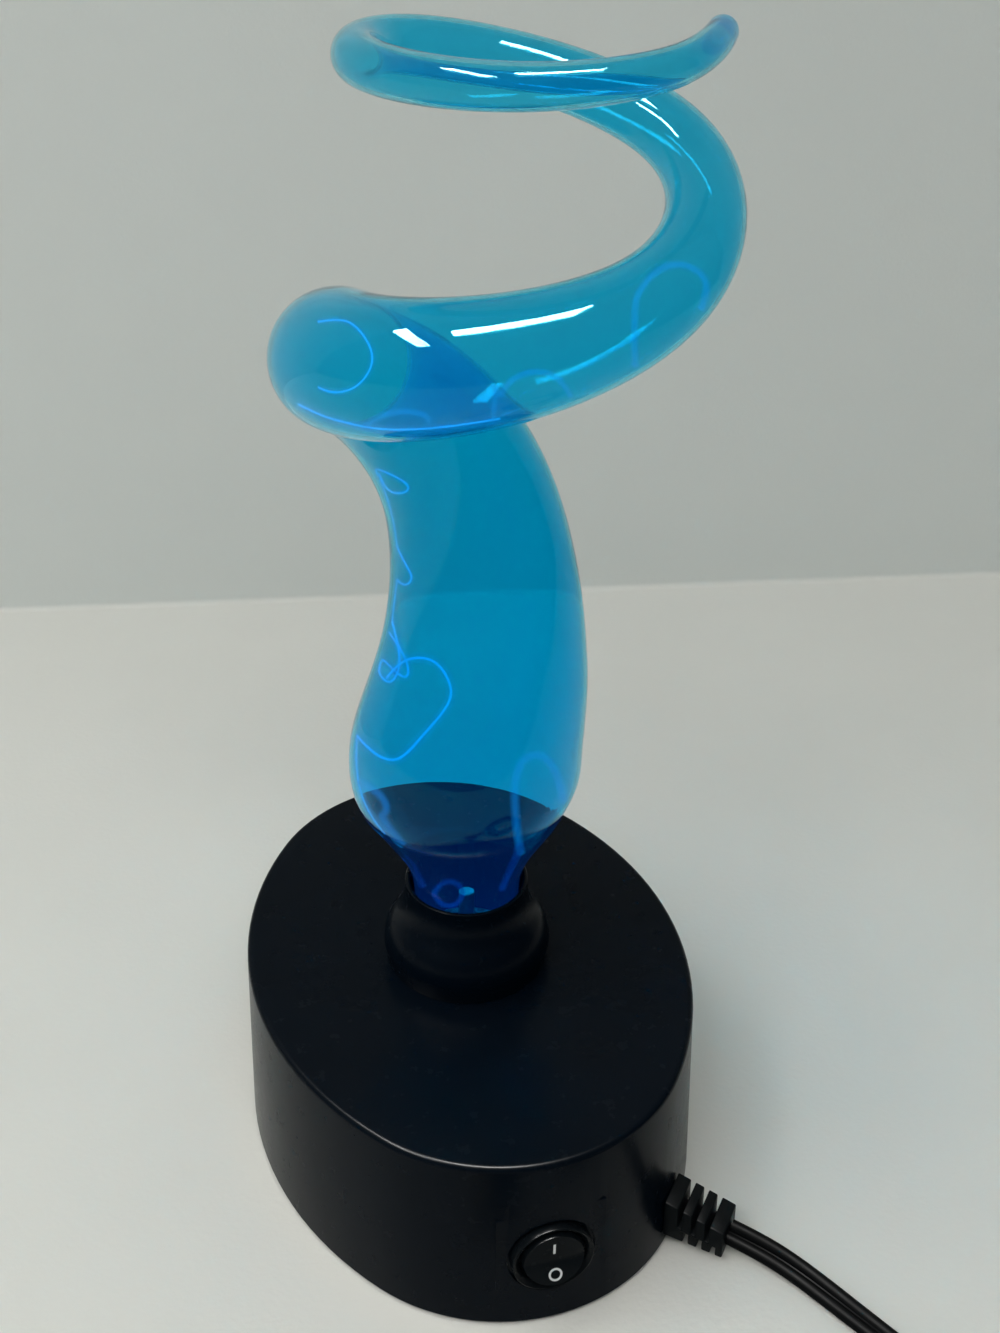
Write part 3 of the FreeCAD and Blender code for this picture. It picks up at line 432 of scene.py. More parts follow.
# The rings crowd on the inner side of the belly's bend, so they are eased there, each time over
# less of it.
bend_height, bend_reach, inside_x, inside_y = 0.126, 0.028, 0.86, 0.5
easings, less_height, less_depth = 12, 0.0015, 0.0012
for step in range(easings):
    crowded = [
        v
        for v in blown.verts
        if abs(v.co.z - bend_height) < bend_reach - less_height * step
        and inside_x * v.co.x + inside_y * v.co.y > less_depth * step
    ]
    bmesh.ops.smooth_vert(
        blown, verts=crowded, factor=0.5, use_axis_x=True, use_axis_y=True, use_axis_z=True
    )
*tip, tip_radius = (value / 1000 for value in glass_points[-1])
*before_tip, _ = (value / 1000 for value in glass_points[-2])
tip = Vector(tip)
tip_way = (tip - Vector(before_tip)).normalized()
tip_ring = [e for e in blown.edges if e.is_boundary and e.verts[0].co.z > tip.z / 2]
dome_steps, smallest_ring = 6, 0.02
sealed_length, glass_wall = 0.011, 0.001
for step in range(1, dome_steps + 1):
    lean = math.radians(90 / dome_steps)
    before = math.cos(lean * (step - 1))
    after = max(smallest_ring, math.cos(lean * step))
    grown = bmesh.ops.extrude_edge_only(blown, edges=tip_ring)["geom"]
    ring = [g for g in grown if isinstance(g, bmesh.types.BMVert)]
    middle_point = sum((v.co for v in ring), Vector()) / len(ring)
    rise = tip_radius * (math.sin(lean * step) - math.sin(lean * (step - 1)))
    for v in ring:
        v.co = middle_point + (v.co - middle_point) * (after / before) + tip_way * rise
    tip_ring = [g for g in grown if isinstance(g, bmesh.types.BMEdge)]
bmesh.ops.edgeloop_fill(blown, edges=tip_ring)
bmesh.ops.recalc_face_normals(blown, faces=blown.faces)
for face in blown.faces:
    face.material_index = int((face.calc_center_median() - tip).length < sealed_length)
bmesh.ops.solidify(blown, geom=blown.faces[:], thickness=glass_wall)


# The glass gives off a faint painted glow of its own, whose colour goes by height.
def blue_glass(name, tints, glow):
    """Clear coloured glass. Its tints and glow go by height, from the base's roof to the top."""
    base_roof, glass_top = 0.06, 0.336

    def share(s):
        height = s.node("ShaderNodeSeparateXYZ", {}, {"Vector": s.place()}, "Z")
        limits = {"From Min": base_roof, "From Max": glass_top}
        return s.node("ShaderNodeMapRange", {}, {"Value": height, **limits})

    return finish(
        name,
        {
            "Transmission Weight": 1,
            "Roughness": 0,
            "IOR": 1.3,
            "Specular Tint": (0.28, 0.88, 0.9, 1),
            "Emission Strength": 0.03,
        },
        lambda s: {
            "Base Color": s.node("ShaderNodeValToRGB", {"stops": tints}, {"Fac": share(s)}),
            "Emission Color": s.node("ShaderNodeValToRGB", {"stops": glow}, {"Fac": share(s)}),
            "Normal": s.bump(s.grain(0.03, 1), 0.0002),
        },
    )


envelope_glass = blue_glass(
    "envelope_glass",
    [
        (0.15, (0.0005, 0.64, 0.92)),
        (0.57, (0.001, 0.69, 0.92)),
        (0.7, (0.09, 0.72, 0.93)),
        (1, (0.2, 0.77, 0.94)),
    ],
    # Painted glow: brightest and bluest at about two thirds of the way up.
    [
        (0.1, (0, 0.1, 0.6)),
        (0.3, (0, 0.08, 0.3)),
        (0.6, (0, 0.12, 0.25)),
        (0.68, (0, 0.34, 0.75)),
        (0.8, (0, 0.14, 0.3)),
        (0.92, (0, 0.08, 0.2)),
    ],
)
sealed_glass = blue_glass(
    "sealed_glass",
    [(0, (0, 0.5, 0.85)), (1, (0.02, 0.58, 0.88))],
    # Painted glow of the sealed tip.
    [(0, (0, 0.1, 0.3)), (1, (0, 0.12, 0.4))],
)
envelope = make("envelope", blown, envelope_glass, 60)
envelope.data.materials.append(sealed_glass)
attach(envelope, "lamp")
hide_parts("glass_spiral")

# Plasma filaments: thin bright threads of glowing gas that creep along the inside of the glass from
# the electrode. They are drawn as fine tubes of light in a fainter haze, just inside the wall.
def glowing_gas(name, dim, bright, strength, cover):
    """Light that comes from the gas itself. It covers only part of what lies behind it."""
    return finish(
        name,
        {"Emission Strength": strength, "Alpha": cover, "Specular IOR Level": 0},
        lambda s: {
            "Base Color": s.between(s.grain(0.01, 2), (0, 0.05, 0.2), (0, 0.1, 0.3)),
            "Emission Color": s.between(s.grain(0.012, 2), dim, bright),
        },
    )


thread_glow = glowing_gas("thread_glow", (0, 0.42, 1), (0.1, 0.62, 1), 1, 0.62)
haze_glow = glowing_gas("haze_glow", (0, 0.36, 1), (0.04, 0.5, 1), 0.9, 0.06)
deep_glow = glowing_gas("deep_glow", (0, 0.1, 0.7), (0, 0.16, 0.9), 0.4, 0.1)
low_down = ("neck_left", "neck_right", "neck_ring")
faint = low_down + ("ring_right", "arc_right", "curl", "rise", "low_left", "arch")
# Each thread: its thickness and the places that it runs through, in millimetres.
filaments = {
    "loop_high": (0.35, [
        (-19, 16.2, 213.1), (-20.5, 15.9, 216.3), (-19, 7.7, 218.9), (-14, 3.4, 217),
        (-13.5, 3.6, 214.5), (-15.4, 6.8, 212), (-17.2, 16.3, 208.6), (-18.5, 17.7, 213),
    ]),
    "thread": (0.3, [
        (-18.4, 17.5, 211.6), (-16.3, 15.8, 205.8), (-14.6, 18.7, 198.2), (-14.3, 17.3, 191.3),
    ]),
    "hook": (0.35, [
        (-14.3, 17.3, 191.3), (-14.3, 16.9, 190.8), (-13.9, 6.1, 190.9), (-13.2, 3.5, 189.5),
        (-13.6, 3.3, 187.2), (-14.8, 6.3, 184.8), (-14.7, 16.1, 181.3),
    ]),
    "thread_low": (0.3, [
        (-14.7, 16.1, 181.3), (-15.4, 17.3, 176), (-16.8, 14.3, 169.7),
    ]),
    "knot": (0.5, [
        (-16.8, 14.3, 169.7), (-17.4, -2, 168.7), (-19.7, -4, 162.5), (-21.7, -0.8, 159.5),
        (-22, 10.1, 156.6), (-20.3, 14.3, 157.1), (-20.5, 8.7, 161.7), (-19.7, -1.9, 163.7),
        (-17.7, -7.1, 164.1), (-16.6, -6.2, 167.1), (-17.5, -0.2, 169.9), (-17.9, 12.9, 167),
    ]),
    "great_arc": (0.6, [
        (-21.4, 0.4, 160.6), (-18.5, -1.7, 166.5), (-15.3, -5.8, 170.1), (-12.2, -9.5, 171.5),
        (-9.6, -13, 170.4), (-7.8, -17.1, 165.5), (-9.8, -18.4, 161.1), (-16, -18.1, 154),
        (-21.3, -17.2, 146.7), (-24.3, -14.6, 143.9), (-27.6, -8.4, 142.6), (-28.9, 8.1, 138.1),
    ]),
    "arch": (0.5, [
        (8.8, -23.9, 114.3), (5.7, -30, 126.3), (4.8, -28.8, 142.3), (8.1, -26.9, 147.4),
        (11.4, -25.9, 147.4), (15.1, -24.7, 145.6), (19.4, -23.4, 137.3), (21.2, -21.8, 127.4),
    ]),
    "low_left": (0.45, [
        (-30.6, -4.4, 131.3), (-27.8, -13, 134.2), (-25.7, -17.1, 131.7), (-26.8, -15.4, 127.4),
        (-27.8, -13.3, 126), (-22.5, -18.3, 118.4),
    ]),
    "edge_left": (0.45, [
        (-28.9, 8.1, 138), (-29.9, 7.7, 130.4), (-30.4, 3.6, 125), (-29.3, -2.9, 119.9),
        (-26, -10.8, 117.2),
    ]),
    "neck_left": (0.4, [
        (-13.4, -2.7, 90.6), (-16.2, -5, 99.9), (-20, -8, 106),
    ]),
    "neck_right": (0.4, [
        (6.8, -12.4, 92.6), (7.8, -16, 101.4), (7.9, -26.7, 118.3),
    ]),
    "neck_ring": (0.35, [
        (-11.4, -7.7, 91.1), (-10.9, -11.8, 97.8), (-9.2, -15.5, 101.9), (-6.2, -16, 100.1),
        (-4.5, -14.1, 94.6), (-5.8, -12.1, 89.3), (-8, -10.5, 87.4), (-10.4, -8.2, 87.6),
        (-11.4, -7.7, 91.1),
    ]),
    "swirl": (0.35, [
        (-39.7, -23.4, 273.7), (-36, -28.1, 275.9), (-33.6, -32.4, 276.9), (-31.4, -43.3, 274.1),
        (-33, -44.7, 270.2), (-35.2, -43.3, 266.8), (-38, -40.1, 263.8), (-40.6, -36.2, 262.6),
        (-42.2, -33.3, 262.7),
    ]),
    "under_coil": (0.4, [
        (-44.7, -20.3, 253.1), (-41.6, -28.4, 253.8), (-38.3, -34.5, 254.7), (-32.7, -40.4, 255),
        (-26.8, -44.7, 255.5), (-16.9, -50.4, 257.7), (-6.4, -53.9, 260.1),
    ]),
    "curl": (0.3, [
        (-33.7, -40, 255.5), (-30.6, -46.9, 261.4), (-25.9, -50.8, 263.5), (-21.8, -52.3, 262),
        (-22, -51.3, 260.4),
    ]),
    "rise": (0.3, [
        (-8.6, -55.5, 261), (-8.8, -57.4, 265.1), (-8.7, -58.4, 270.2),
    ]),
    "arc_right": (0.3, [
        (-7.8, -58.4, 267.8), (-6.8, -58.9, 270.2), (-3.6, -59.3, 273), (1.7, -60, 273.2),
        (5.1, -60.2, 271), (8.5, -57.1, 265.2),
    ]),
    "ring_right": (0.35, [
        (23.4, -56.1, 270.1), (22.2, -58.3, 279.3), (23.1, -54.9, 284.7), (25.1, -53.1, 286.1),
        (29.9, -49, 288.6), (36, -48, 289.5), (41.7, -48.9, 286.3), (42.1, -49.5, 283),
        (40.5, -50.1, 278.7),
    ]),
}
# Each layer of a tube: its radius in thicknesses, and 0 for the thread's glow or 1 for the haze.
bright_layers = ((0.5, 0), (1.2, 1), (2.4, 1))
faint_layers = ((1, 1), (1.8, 1), (2.8, 1))
for name, (thickness, places) in filaments.items():
    thread = bpy.data.curves.new(name, "CURVE")
    thread.dimensions = "3D"
    thread.resolution_u = 8
    run = thread.splines.new("NURBS")
    run.points.add(len(places) - 1)
    for point, (x, y, z) in zip(run.points, places):
        point.co = (x / 1000, y / 1000, z / 1000, 1)
    run.order_u = 4 if len(places) > 3 else 3
    run.use_endpoint_u = True
    thread.bevel_resolution = 2
    thread.use_fill_caps = True
    strand = placed(name, thread)
    light_thread = bmesh.new()
    for width, material_number in faint_layers if name in faint else bright_layers:
        thread.bevel_depth = width * thickness / 1000
        already = len(light_thread.faces)
        light_thread.from_mesh(settled(strand))
        for face in list(light_thread.faces)[already:]:
            face.material_index = material_number
    bpy.data.objects.remove(strand)
    bmesh.ops.remove_doubles(light_thread, verts=light_thread.verts, dist=0.000001)
    glowing = make("filament_" + name, light_thread, thread_glow, 60)
    glowing.data.materials.append(deep_glow if name in low_down else haze_glow)
    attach(glowing, "lamp")


# Collar: a bell of black moulded plastic with a rolled lip, seated in the roof of the base, that
# holds the glass by its neck.
def turned(line, way, steps, middle=(0, 0, 0), closed=True):
    """Spins a profile, given as distances out from an axis and along it in millimetres."""
    work = bmesh.new()
    verts = []
    for out, along in line:
        place = zip(middle, (out, way[1] * along, way[2] * along))
        verts.append(work.verts.new([start + shift / 1000 for start, shift in place]))
    ends = verts[:1] if closed else []
    edges = [work.edges.new(pair) for pair in zip(verts, verts[1:] + ends)]
    bmesh.ops.spin(
        work,
        geom=verts + edges,
        cent=middle,
        axis=way,
        angle=math.tau,
        steps=steps,
        use_merge=True,
    )
    bmesh.ops.remove_doubles(work, verts=work.verts, dist=0.000003)
    bmesh.ops.recalc_face_normals(work, faces=work.faces)
    return work


skirt_radius, skirt_top = 24.4, 66
lip_radius, lip_foot, lip_top = 17.8, 86, 88.5
neck_hole, wire_hole, spigot = 16.6, 7, 9
sweep_rise, sweep_in = lip_foot - skirt_top, skirt_radius - lip_radius
sweep_radius = (sweep_rise**2 + sweep_in**2) / (4 * sweep_in)
sweep_lean = math.asin(sweep_rise / (2 * sweep_radius))
sweep = [
    (sweep_radius * (1 - math.cos(lean)), sweep_radius * math.sin(lean))
    for lean in [sweep_lean * step / 10 for step in range(11)]
]
bell_line = [(wire_hole, 57), (spigot, 57), (spigot, 60), (23.1, 60), (23.4, 60.3)]
bell_line += [(skirt_radius - across, skirt_top + up) for across, up in sweep]
bell_line += [(lip_radius + across, lip_foot - up) for across, up in sweep[-2::-1]]
bell_line += [(lip_radius, lip_top - 0.3), (lip_radius - 0.3, lip_top)]
bell_line += [(neck_hole + 0.3, lip_top), (neck_hole, lip_top - 0.3)]
bell_line += [(neck_hole, 63), (wire_hole, 63)]
# Near-black moulded plastic. The slight blue in its colour is a painted reflection of the blue
# glass above it.
base_plastic = finish(
    "base_plastic",
    {"Specular IOR Level": 0.055},
    lambda s: {
        "Base Color": s.between(
            s.grain(0.03, 4), (0.0004, 0.0018, 0.004), (0.0008, 0.0034, 0.0075)
        ),
        "Roughness": s.grain(0.006, 5, 0.6) * 0.12 + 0.2,
        "Normal": s.bump(s.grain(0.0005, 3), 0.00001),
    },
)
collar = make("collar", turned(bell_line, (0, 0, 1), 96), base_plastic, 35)
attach(collar, "lamp")
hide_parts("neck_collar")


# Base housing: an oval bowl of black moulded plastic with leaning walls and an eased top edge. It
# has a recess for the switch, a slot for the strain relief and posts inside for the cover's screws.
def copy_of(node, flat=1):
    """The shape of one solid, with its loose triangles merged and its flat faces made whole."""
    work = bmesh.new()
    work.from_mesh(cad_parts[node].data)
    bmesh.ops.remove_doubles(work, verts=work.verts, dist=0.000002)
    bmesh.ops.dissolve_limit(
        work, angle_limit=math.radians(flat), verts=work.verts, edges=work.edges
    )
    return work


def eased(work, edges, width, steps=2):
    """Rounds some edges."""
    bmesh.ops.bevel(
        work,
        geom=edges,
        offset=width,
        offset_type="OFFSET",
        affect="EDGES",
        segments=steps,
        profile=0.5,
        material=-1,
        clamp_overlap=True,
    )


def sharp_edges(work, least=30):
    """The edges between faces that meet at more than an angle."""
    return [e for e in work.edges if e.is_manifold and e.calc_face_angle(0) > math.radians(least)]


def carved(piece, tool, way):
    """Cuts or joins a piece with a tool, or keeps what they share, and removes the tool."""
    change = piece.modifiers.new(way, "BOOLEAN")
    change.operation = way
    change.object = tool
    change.solver = "EXACT"
    shape = settled(piece)
    piece.modifiers.clear()
    piece.data = shape
    bpy.data.objects.remove(tool)


def drum(low, high, radius, at, towards="Z", end_radius=None, sides=64):
    """A round tool along one axis, in millimetres, from low to high."""
    work = bmesh.new()
    bmesh.ops.create_cone(
        work,
        cap_ends=True,
        segments=sides,
        radius1=radius / 1000,
        radius2=(radius if end_radius is None else end_radius) / 1000,
        depth=(high - low) / 1000,
    )
    bmesh.ops.translate(work, verts=work.verts, vec=(0, 0, (low + high) / 2000))
    if towards != "Z":
        lay = Matrix.Rotation(math.radians(90), 3, "Y" if towards == "X" else "X")
        bmesh.ops.rotate(work, verts=work.verts, cent=(0, 0, 0), matrix=lay)
    bmesh.ops.translate(work, verts=work.verts, vec=Vector(at) / 1000)
    return make("tool", work, base_plastic)


def block(sizes, at, turn=0):
    """A square tool in millimetres, turned about the upright axis."""
    work = bmesh.new()
    bmesh.ops.create_cube(work, size=1)
    bmesh.ops.scale(work, verts=work.verts, vec=Vector(sizes) / 1000)
    turning = Matrix.Rotation(math.radians(turn), 3, "Z")
    bmesh.ops.rotate(work, verts=work.verts, cent=(0, 0, 0), matrix=turning)
    bmesh.ops.translate(work, verts=work.verts, vec=Vector(at) / 1000)
    return make("tool", work, base_plastic)


half_width, half_length, end_radius = 64.5, 87.4, 53
end_middle = half_length - end_radius
side_radius = (half_width**2 + end_middle**2 - end_radius**2) / (2 * (half_width - end_radius))
side_middle = half_width - side_radius
lean = math.degrees(math.atan2(end_middle, -side_middle))


def oval_swept(line):
    """Carries an outline of distances out from the base's oval and heights all round the oval."""
    work = bmesh.new()
    out_way = heading(-lean)
    start = Vector((side_middle, 0, 0)) + out_way * side_radius
    row = [work.verts.new((start + out_way * out + Vector((0, 0, up))) / 1000) for out, up in line]
    last = row + [work.edges.new(pair) for pair in zip(row, row[1:])]
    for middle_x, middle_y, sweep in (
        (side_middle, 0, 2 * lean),
        (0, end_middle, 180 - 2 * lean),
        (-side_middle, 0, 2 * lean),
        (0, -end_middle, 180 - 2 * lean),
    ):
        last = bmesh.ops.spin(
            work,
            geom=last,
            cent=(middle_x / 1000, middle_y / 1000, 0),
            axis=(0, 0, 1),
            angle=math.radians(sweep),
            steps=28,
        )["geom_last"]
    bmesh.ops.remove_doubles(work, verts=work.verts, dist=0.000002)
    bmesh.ops.holes_fill(work, edges=[e for e in work.edges if e.is_boundary])
    bmesh.ops.recalc_face_normals(work, faces=work.faces)
    return work


base_height, roof_low, wall_foot = 60, 57, 1.2
wall, roof_reach, brow_radius, flare = 2.6, 30, 1.8, 1.5
foot_edge = 1.5
foot_out = flare * (base_height - foot_edge) / base_height
brow = [
    (brow_radius * (math.sin(turn) - 1), base_height + brow_radius * (math.cos(turn) - 1))
    for turn in [math.radians(degrees) for degrees in range(0, 91, 9)]
]
wall_line = [(-roof_reach, base_height), *brow, (foot_out, foot_edge), (foot_out - 0.3, wall_foot)]
wall_line += [(0.2 - wall, wall_foot), (-wall, wall_foot + 0.2), (-wall, roof_low - 0.6)]
wall_line += [(-wall - 0.6, roof_low), (-roof_reach, roof_low)]
housing = make("housing", oval_swept(wall_line), base_plastic, 35)
post_foot, post_radius, pilot_low, pilot_high, pilot_radius = 3.8, 4, 3, 15.8, 1.45
post_spots = [(side * 44, end * 40, 0) for side in (1, -1) for end in (1, -1)]
for spot in post_spots:
    carved(housing, drum(post_foot, roof_low + 1.5, post_radius, spot, sides=32), "UNION")
    carved(housing, drum(pilot_low, pilot_high, pilot_radius, spot, sides=24), "DIFFERENCE")
switch_y, switch_z = -86.2625, 25.5
switch_place = (0, switch_y, switch_z)
pad_size, pad_thickness = 31, 2.5
pad_middle = (0, switch_y + pad_thickness / 2, switch_z)
carved(housing, block((pad_size, pad_thickness, pad_size), pad_middle), "UNION")
relief_turn, relief_height = -39, 12
relief_way = heading(relief_turn)
relief_foot = Vector(
    (end_radius * relief_way.x, end_radius * relief_way.y - end_middle, relief_height)
)
carved(housing, block((3.8, 14, 15), relief_foot - relief_way * 3.2, relief_turn), "UNION")
recess_depth, recess_radius, recess_mouth = 10, 12.4, 15.4
carved(
    housing,
    drum(0, recess_depth, recess_radius, switch_place, "Y", recess_mouth),
    "DIFFERENCE",
)
carved(housing, block((20, 8.8, 10.3), relief_foot, relief_turn), "DIFFERENCE")
barrel_hole, collar_hole = 10.95, 9.1
carved(housing, drum(-8, 4, barrel_hole, switch_place, "Y"), "DIFFERENCE")
carved(housing, drum(50, 70, collar_hole, (0, 0, 0)), "DIFFERENCE")
housing.data.shade_smooth()
housing.data.set_sharp_from_angle(angle=math.radians(35))
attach(housing, "lamp")
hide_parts("base_housing")

# Strain relief: moulded black vinyl block with cross slots from above and below, which lets the
# lead bend gently where it leaves the wall. It is held in its slot by a clip inside.
comb = copy_of("strain_relief")
eased(comb, sharp_edges(comb), 0.0004)
relief_vinyl = finish(
    "relief_vinyl",
    {"Specular IOR Level": 0.05},
    lambda s: {
        "Base Color": s.between(s.grain(0.006, 3), (0.002, 0.003, 0.004), (0.004, 0.006, 0.007)),
        "Roughness": s.grain(0.003, 4) * 0.2 + 0.32,
        "Normal": s.bump(s.grain(0.0005, 2), 0.00003),
    },
)
relief = make("relief", comb, relief_vinyl, 35)
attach(relief, "lamp")
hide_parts("strain_relief")

# Switch body: a round bezel of glossy black nylon on a hollow barrel with a closed back. It is
# moulded in one piece and snaps into the recess from the front.
nylon = finish(
    "nylon",
    {"Specular IOR Level": 0.06},
    lambda s: {
        "Base Color": s.between(s.grain(0.01, 3), (0.002, 0.003, 0.004), (0.004, 0.006, 0.008)),
        "Roughness": s.grain(0.003, 4) * 0.15 + 0.18,
        "Normal": s.bump(s.grain(0.0008, 2), 0.00001),
    },
)
hinge_forward = 0.2
hinge = Vector((0, (switch_y - hinge_forward) / 1000, switch_z / 1000))
bezel_line = [
    (10.8, 0),
    (11.4, 0),
    (11.6, -0.3),
    (11.6, -3.0),
    (11.5, -3.25),
    (11.2, -3.4),
    (10.9, -3.3),
    (9.85, -2.3),
    (9.6, -2.0),
    (9.6, 10.5),
    (0.001, 10.5),
    (0.001, 13),
    (10.5, 13),
    (10.8, 12.7),
]


def pin(radius, reach):
    """A round bar along the hinge, in millimetres. It reaches as far each way from the middle."""
    work = bmesh.new()
    bmesh.ops.create_cone(
        work,
        cap_ends=True,
        segments=24,
        radius1=radius / 1000,
        radius2=radius / 1000,
        depth=2 * reach / 1000,
    )
    crosswise = Matrix.Rotation(math.radians(90), 3, "Y")
    bmesh.ops.rotate(work, verts=work.verts, cent=(0, 0, 0), matrix=crosswise)
    bmesh.ops.translate(work, verts=work.verts, vec=hinge)
    return make("pin", work, nylon)


ring = turned(bezel_line, (0, 1, 0), 72, (0, switch_y / 1000, switch_z / 1000))
bezel = make("bezel", ring, nylon, 40)
bore_radius, bore_reach = 1.26, 10.5
carved(bezel, pin(bore_radius, bore_reach), "DIFFERENCE")
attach(bezel, "lamp")
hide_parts("switch_body")

# Rocker: black nylon key with a ball-shaped side and two flats that meet in a shallow valley, on
# two moulded pins that turn in the bezel's bores. The line and the ring printed on it are the usual
# signs for on and off.
key_radius, valley, back_flat, key_tilt = 9.2, -3.2, 3.6, math.radians(20)
outside = key_radius + 1
ball = bmesh.new()
bmesh.ops.create_uvsphere(ball, u_segments=72, v_segments=48, radius=key_radius / 1000)
bmesh.ops.translate(ball, verts=ball.verts, vec=hinge)
key = make("rocker", ball, nylon, 35)
side_line = [
    (back_flat, -outside),
    (back_flat, outside),
    (valley, outside),
    (valley, 0),
    (valley - outside * math.tan(key_tilt), -outside),
]
wedge = bmesh.new()
side = [Vector((-outside / 1000, back / 1000, up / 1000)) for back, up in side_line]
wedge_face = wedge.faces.new([wedge.verts.new(hinge + corner) for corner in side])
grown = bmesh.ops.extrude_face_region(wedge, geom=[wedge_face])["geom"]
far_side = [g for g in grown if isinstance(g, bmesh.types.BMVert)]
bmesh.ops.translate(wedge, verts=far_side, vec=(2 * outside / 1000, 0, 0))
bmesh.ops.recalc_face_normals(wedge, faces=wedge.faces)
carved(key, make("wedge", wedge, nylon), "INTERSECT")
softened = bmesh.new()
softened.from_mesh(key.data)
bmesh.ops.dissolve_limit(
    softened, angle_limit=math.radians(0.5), verts=softened.verts, edges=softened.edges
)
eased(softened, sharp_edges(softened, 35), 0.0003, 3)
softened.to_mesh(key.data)
softened.free()
pin_radius, pin_reach = 1.2, 10.2
carved(key, pin(pin_radius, pin_reach), "UNION")
key.data.shade_smooth()
key.data.set_sharp_from_angle(angle=math.radians(35))
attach(key, "rocker")
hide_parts("switch_rocker")
sign_ink = finish(
    "sign_ink",
    {"Specular IOR Level": 0.3, "Roughness": 0.5},
    lambda s: {
        "Base Color": s.between(s.grain(0.0006, 3), (0.55, 0.57, 0.58), (0.75, 0.77, 0.78)),
    },
)
sign_size = (0.0007, 0.0001, 0.0036)
sign_front, sign_away = -0.00323, 0.0042
stroke = bmesh.new()
bmesh.ops.create_cube(stroke, size=1)
bmesh.ops.scale(stroke, verts=stroke.verts, vec=sign_size)
eased(stroke, stroke.edges[:], 0.00003, 1)
bmesh.ops.translate(stroke, verts=stroke.verts, vec=hinge + Vector((0, sign_front, sign_away)))
on_sign = make("sign_on", stroke, sign_ink)
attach(on_sign, "rocker")
loop = turned([(1.35, -0.05), (1.95, -0.05), (1.95, 0.05), (1.35, 0.05)], (0, 1, 0), 40)
leaned = Matrix.Rotation(-key_tilt, 3, "X")
bmesh.ops.rotate(loop, verts=loop.verts, cent=(0, 0, 0), matrix=leaned)
lower_flat = Vector((0, sign_front - sign_away * math.tan(key_tilt), -sign_away))
bmesh.ops.translate(loop, verts=loop.verts, vec=hinge + lower_flat)
off_sign = make("sign_off", loop, sign_ink)
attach(off_sign, "rocker")

# Plug: flat black vinyl body with eased edges, moulded round the end of the lead and the roots of
# two brass blades. It lies on the table beside the coil.
grip = copy_of("plug_body")
eased(grip, sharp_edges(grip), 0.0006)
plug = make("plug", grip, relief_vinyl, 35)
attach(plug, "lamp")
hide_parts("plug_body")

# Feet: four discs of soft black moulded rubber, pressed into their seats in the bottom cover. The
# lower edge of each is eased where it stands on the table.
rubber = finish(
    "rubber",
    {"Specular IOR Level": 0.4},
    lambda s: {
        "Base Color": s.between(s.grain(0.004, 4), (0.012, 0.012, 0.012), (0.03, 0.03, 0.03)),
        "Roughness": s.grain(0.002, 3) * 0.2 + 0.65,
        "Normal": s.bump(s.grain(0.0004, 3), 0.00004),
    },
)
for number in range(1, 5):
    disc = copy_of(f"foot_{number}")
    eased(disc, [e for e in sharp_edges(disc) if max(v.co.z for v in e.verts) < 0.0001], 0.0006)
    foot = make(f"rubber_foot_{number}", disc, rubber, 35)
    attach(foot, "lamp")
    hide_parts(f"foot_{number}")

# Cover screws: four plated steel self-tapping screws with cross recesses in their flat heads. They
# hold the bottom cover and are driven up into the housing's posts.
plated_steel = finish(
    "plated_steel",
    {"Metallic": 1},
    lambda s: {
        "Base Color": s.between(s.grain(0.002, 3), (0.5, 0.5, 0.48), (0.66, 0.66, 0.63)),
        "Roughness": s.grain(0.001, 4) * 0.2 + 0.25,
    },
)
head_line = [(0.001, 0.0002), (1.9, 0.0002), (2.6, 0.5), (2.7, 1.1), (0.001, 1.1)]
screw_lift, cross_turn = 0.0001, 30
for number, (across, along, _) in enumerate(post_spots, start=1):
    head = turned(head_line, (0, 0, 1), 32, closed=False)
    screw = make(f"screw_{number}", head, plated_steel, 30)
    for turn in (0, 90):
        cross = bmesh.new()
        bmesh.ops.create_cube(cross, size=1)
        bmesh.ops.scale(cross, verts=cross.verts, vec=(0.003, 0.0006, 0.0014))
        turning = Matrix.Rotation(math.radians(turn + cross_turn), 3, "Z")
        bmesh.ops.rotate(cross, verts=cross.verts, cent=(0, 0, 0), matrix=turning)
        carved(screw, make("cross", cross, plated_steel), "DIFFERENCE")
    screw.data.transform(Matrix.Translation((across / 1000, along / 1000, screw_lift)))
    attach(screw, "lamp")

# Glass foot and electrode: a foot of clear glass, melted into the neck of the envelope, with a
# nickel-plated rod sealed through it. Their CAD shapes stay and get these materials.
stem_glass = finish(
    "stem_glass",
    {"Transmission Weight": 0.8, "IOR": 1.45, "Roughness": 0.15},
    lambda s: {"Base Color": s.between(s.grain(0.004, 3), (0.35, 0.6, 0.8), (0.5, 0.75, 0.9))},
)
nickel = finish(
    "nickel",
    {"Metallic": 1},
    lambda s: {
        "Base Color": s.between(s.grain(0.001, 3), (0.35, 0.37, 0.42), (0.5, 0.52, 0.56)),
        "Roughness": s.grain(0.002, 3) * 0.2 + 0.3,
    },
)

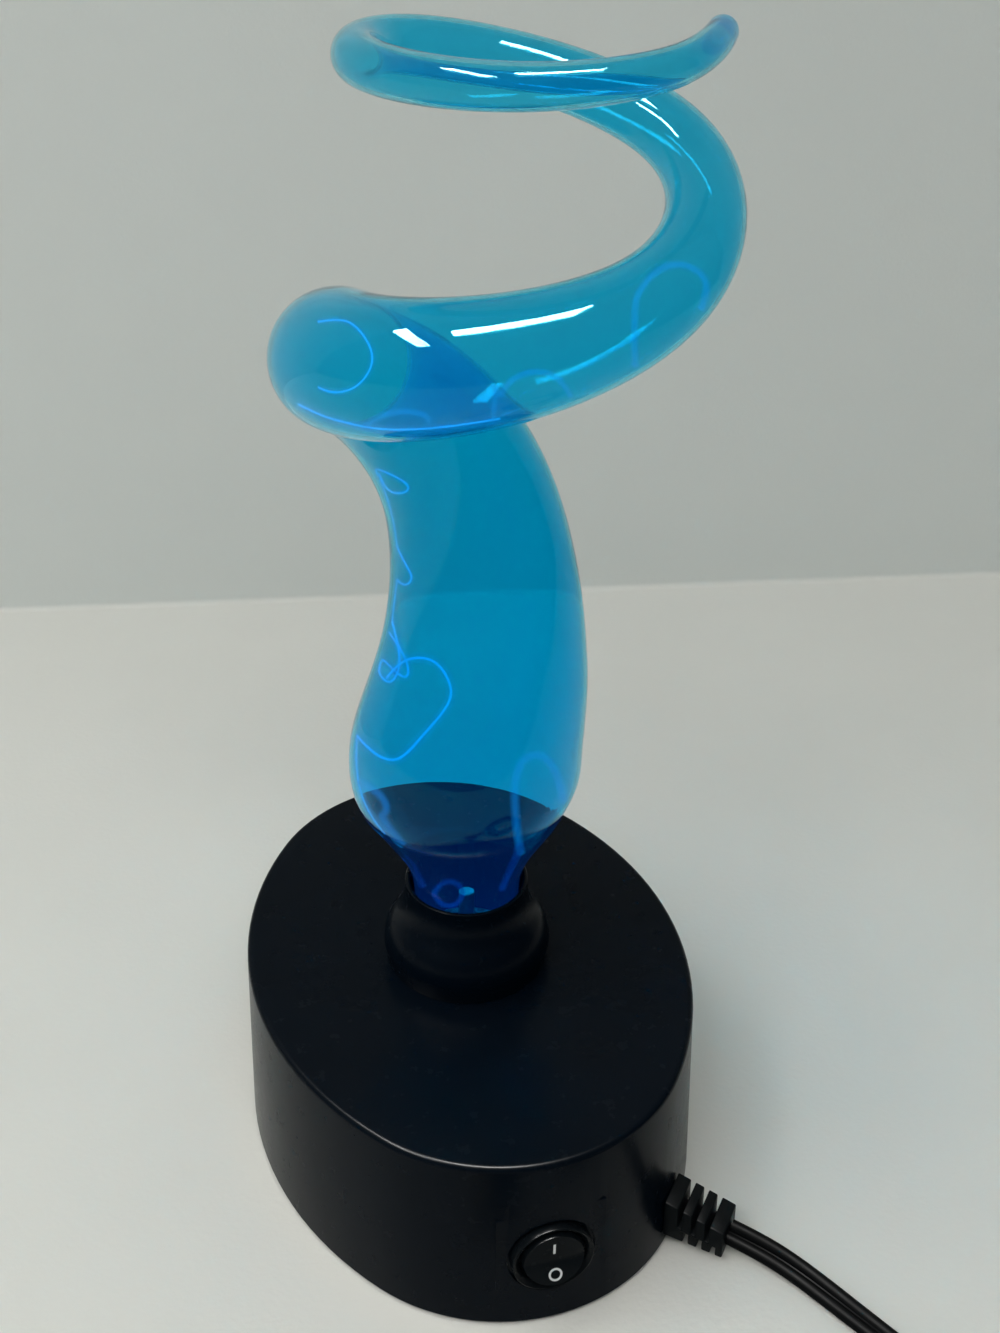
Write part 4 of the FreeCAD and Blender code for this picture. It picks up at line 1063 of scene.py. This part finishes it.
# Inner pieces: brass terminals and blades, a steel clip, and the driver board in green laminate
# with its transformer, capacitor, heat sink and the silicone high-voltage lead to the electrode.
# Their CAD shapes stay, as do the cover's and the tie's, and get their materials here.
brass = finish(
    "brass",
    {"Metallic": 1},
    lambda s: {
        "Base Color": s.between(s.grain(0.003, 3), (0.62, 0.46, 0.2), (0.78, 0.6, 0.3)),
        "Roughness": s.grain(0.002, 3) * 0.2 + 0.25,
    },
)
laminate = finish(
    "laminate",
    {"Specular IOR Level": 0.5},
    lambda s: {
        "Base Color": s.between(s.grain(0.004, 4), (0.012, 0.11, 0.04), (0.02, 0.17, 0.07)),
        "Roughness": s.grain(0.003, 3) * 0.2 + 0.35,
    },
)
ferrite = finish(
    "ferrite",
    {"Specular IOR Level": 0.4},
    lambda s: {
        "Base Color": s.between(s.grain(0.001, 4), (0.018, 0.018, 0.02), (0.045, 0.045, 0.048)),
        "Roughness": s.grain(0.002, 3) * 0.2 + 0.55,
        "Normal": s.bump(s.grain(0.0005, 3), 0.00005),
    },
)
resin = finish(
    "resin",
    {"Specular IOR Level": 0.5},
    lambda s: {
        "Base Color": s.between(s.grain(0.005, 3), (0.16, 0.03, 0.012), (0.3, 0.06, 0.02)),
        "Roughness": s.grain(0.003, 3) * 0.2 + 0.3,
    },
)
sleeve = finish(
    "sleeve",
    {"Specular IOR Level": 0.5},
    lambda s: {
        "Base Color": s.between(s.grain(0.004, 3), (0.012, 0.03, 0.12), (0.02, 0.05, 0.18)),
        "Roughness": s.grain(0.003, 3) * 0.15 + 0.28,
    },
)
sink_metal = finish(
    "sink_metal",
    {"Metallic": 1},
    lambda s: {
        "Base Color": s.between(s.grain(0.006, 3), (0.5, 0.51, 0.52), (0.66, 0.67, 0.68)),
        "Roughness": s.grain(0.001, 3) * 0.2 + 0.35,
    },
)
silicone = finish(
    "silicone",
    {"Specular IOR Level": 0.4},
    lambda s: {
        "Base Color": s.between(s.grain(0.004, 3), (0.5, 0.06, 0.04), (0.66, 0.1, 0.07)),
        "Roughness": s.grain(0.002, 3) * 0.2 + 0.45,
    },
)
inner_finishes = {
    "bottom_cover": base_plastic,
    "cord_tie": flex_vinyl,
    "plug_blade_1": brass,
    "plug_blade_2": brass,
    "glass_stem": stem_glass,
    "electrode": nickel,
    "switch_terminal_1": brass,
    "switch_terminal_2": brass,
    "relief_clip": plated_steel,
    "driver_board": laminate,
    "flyback_core": ferrite,
    "flyback_winding": resin,
    "capacitor": sleeve,
    "heat_sink": sink_metal,
    "high_voltage_lead": silicone,
}
for name, material in inner_finishes.items():
    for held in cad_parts[name].material_slots:
        held.material = material
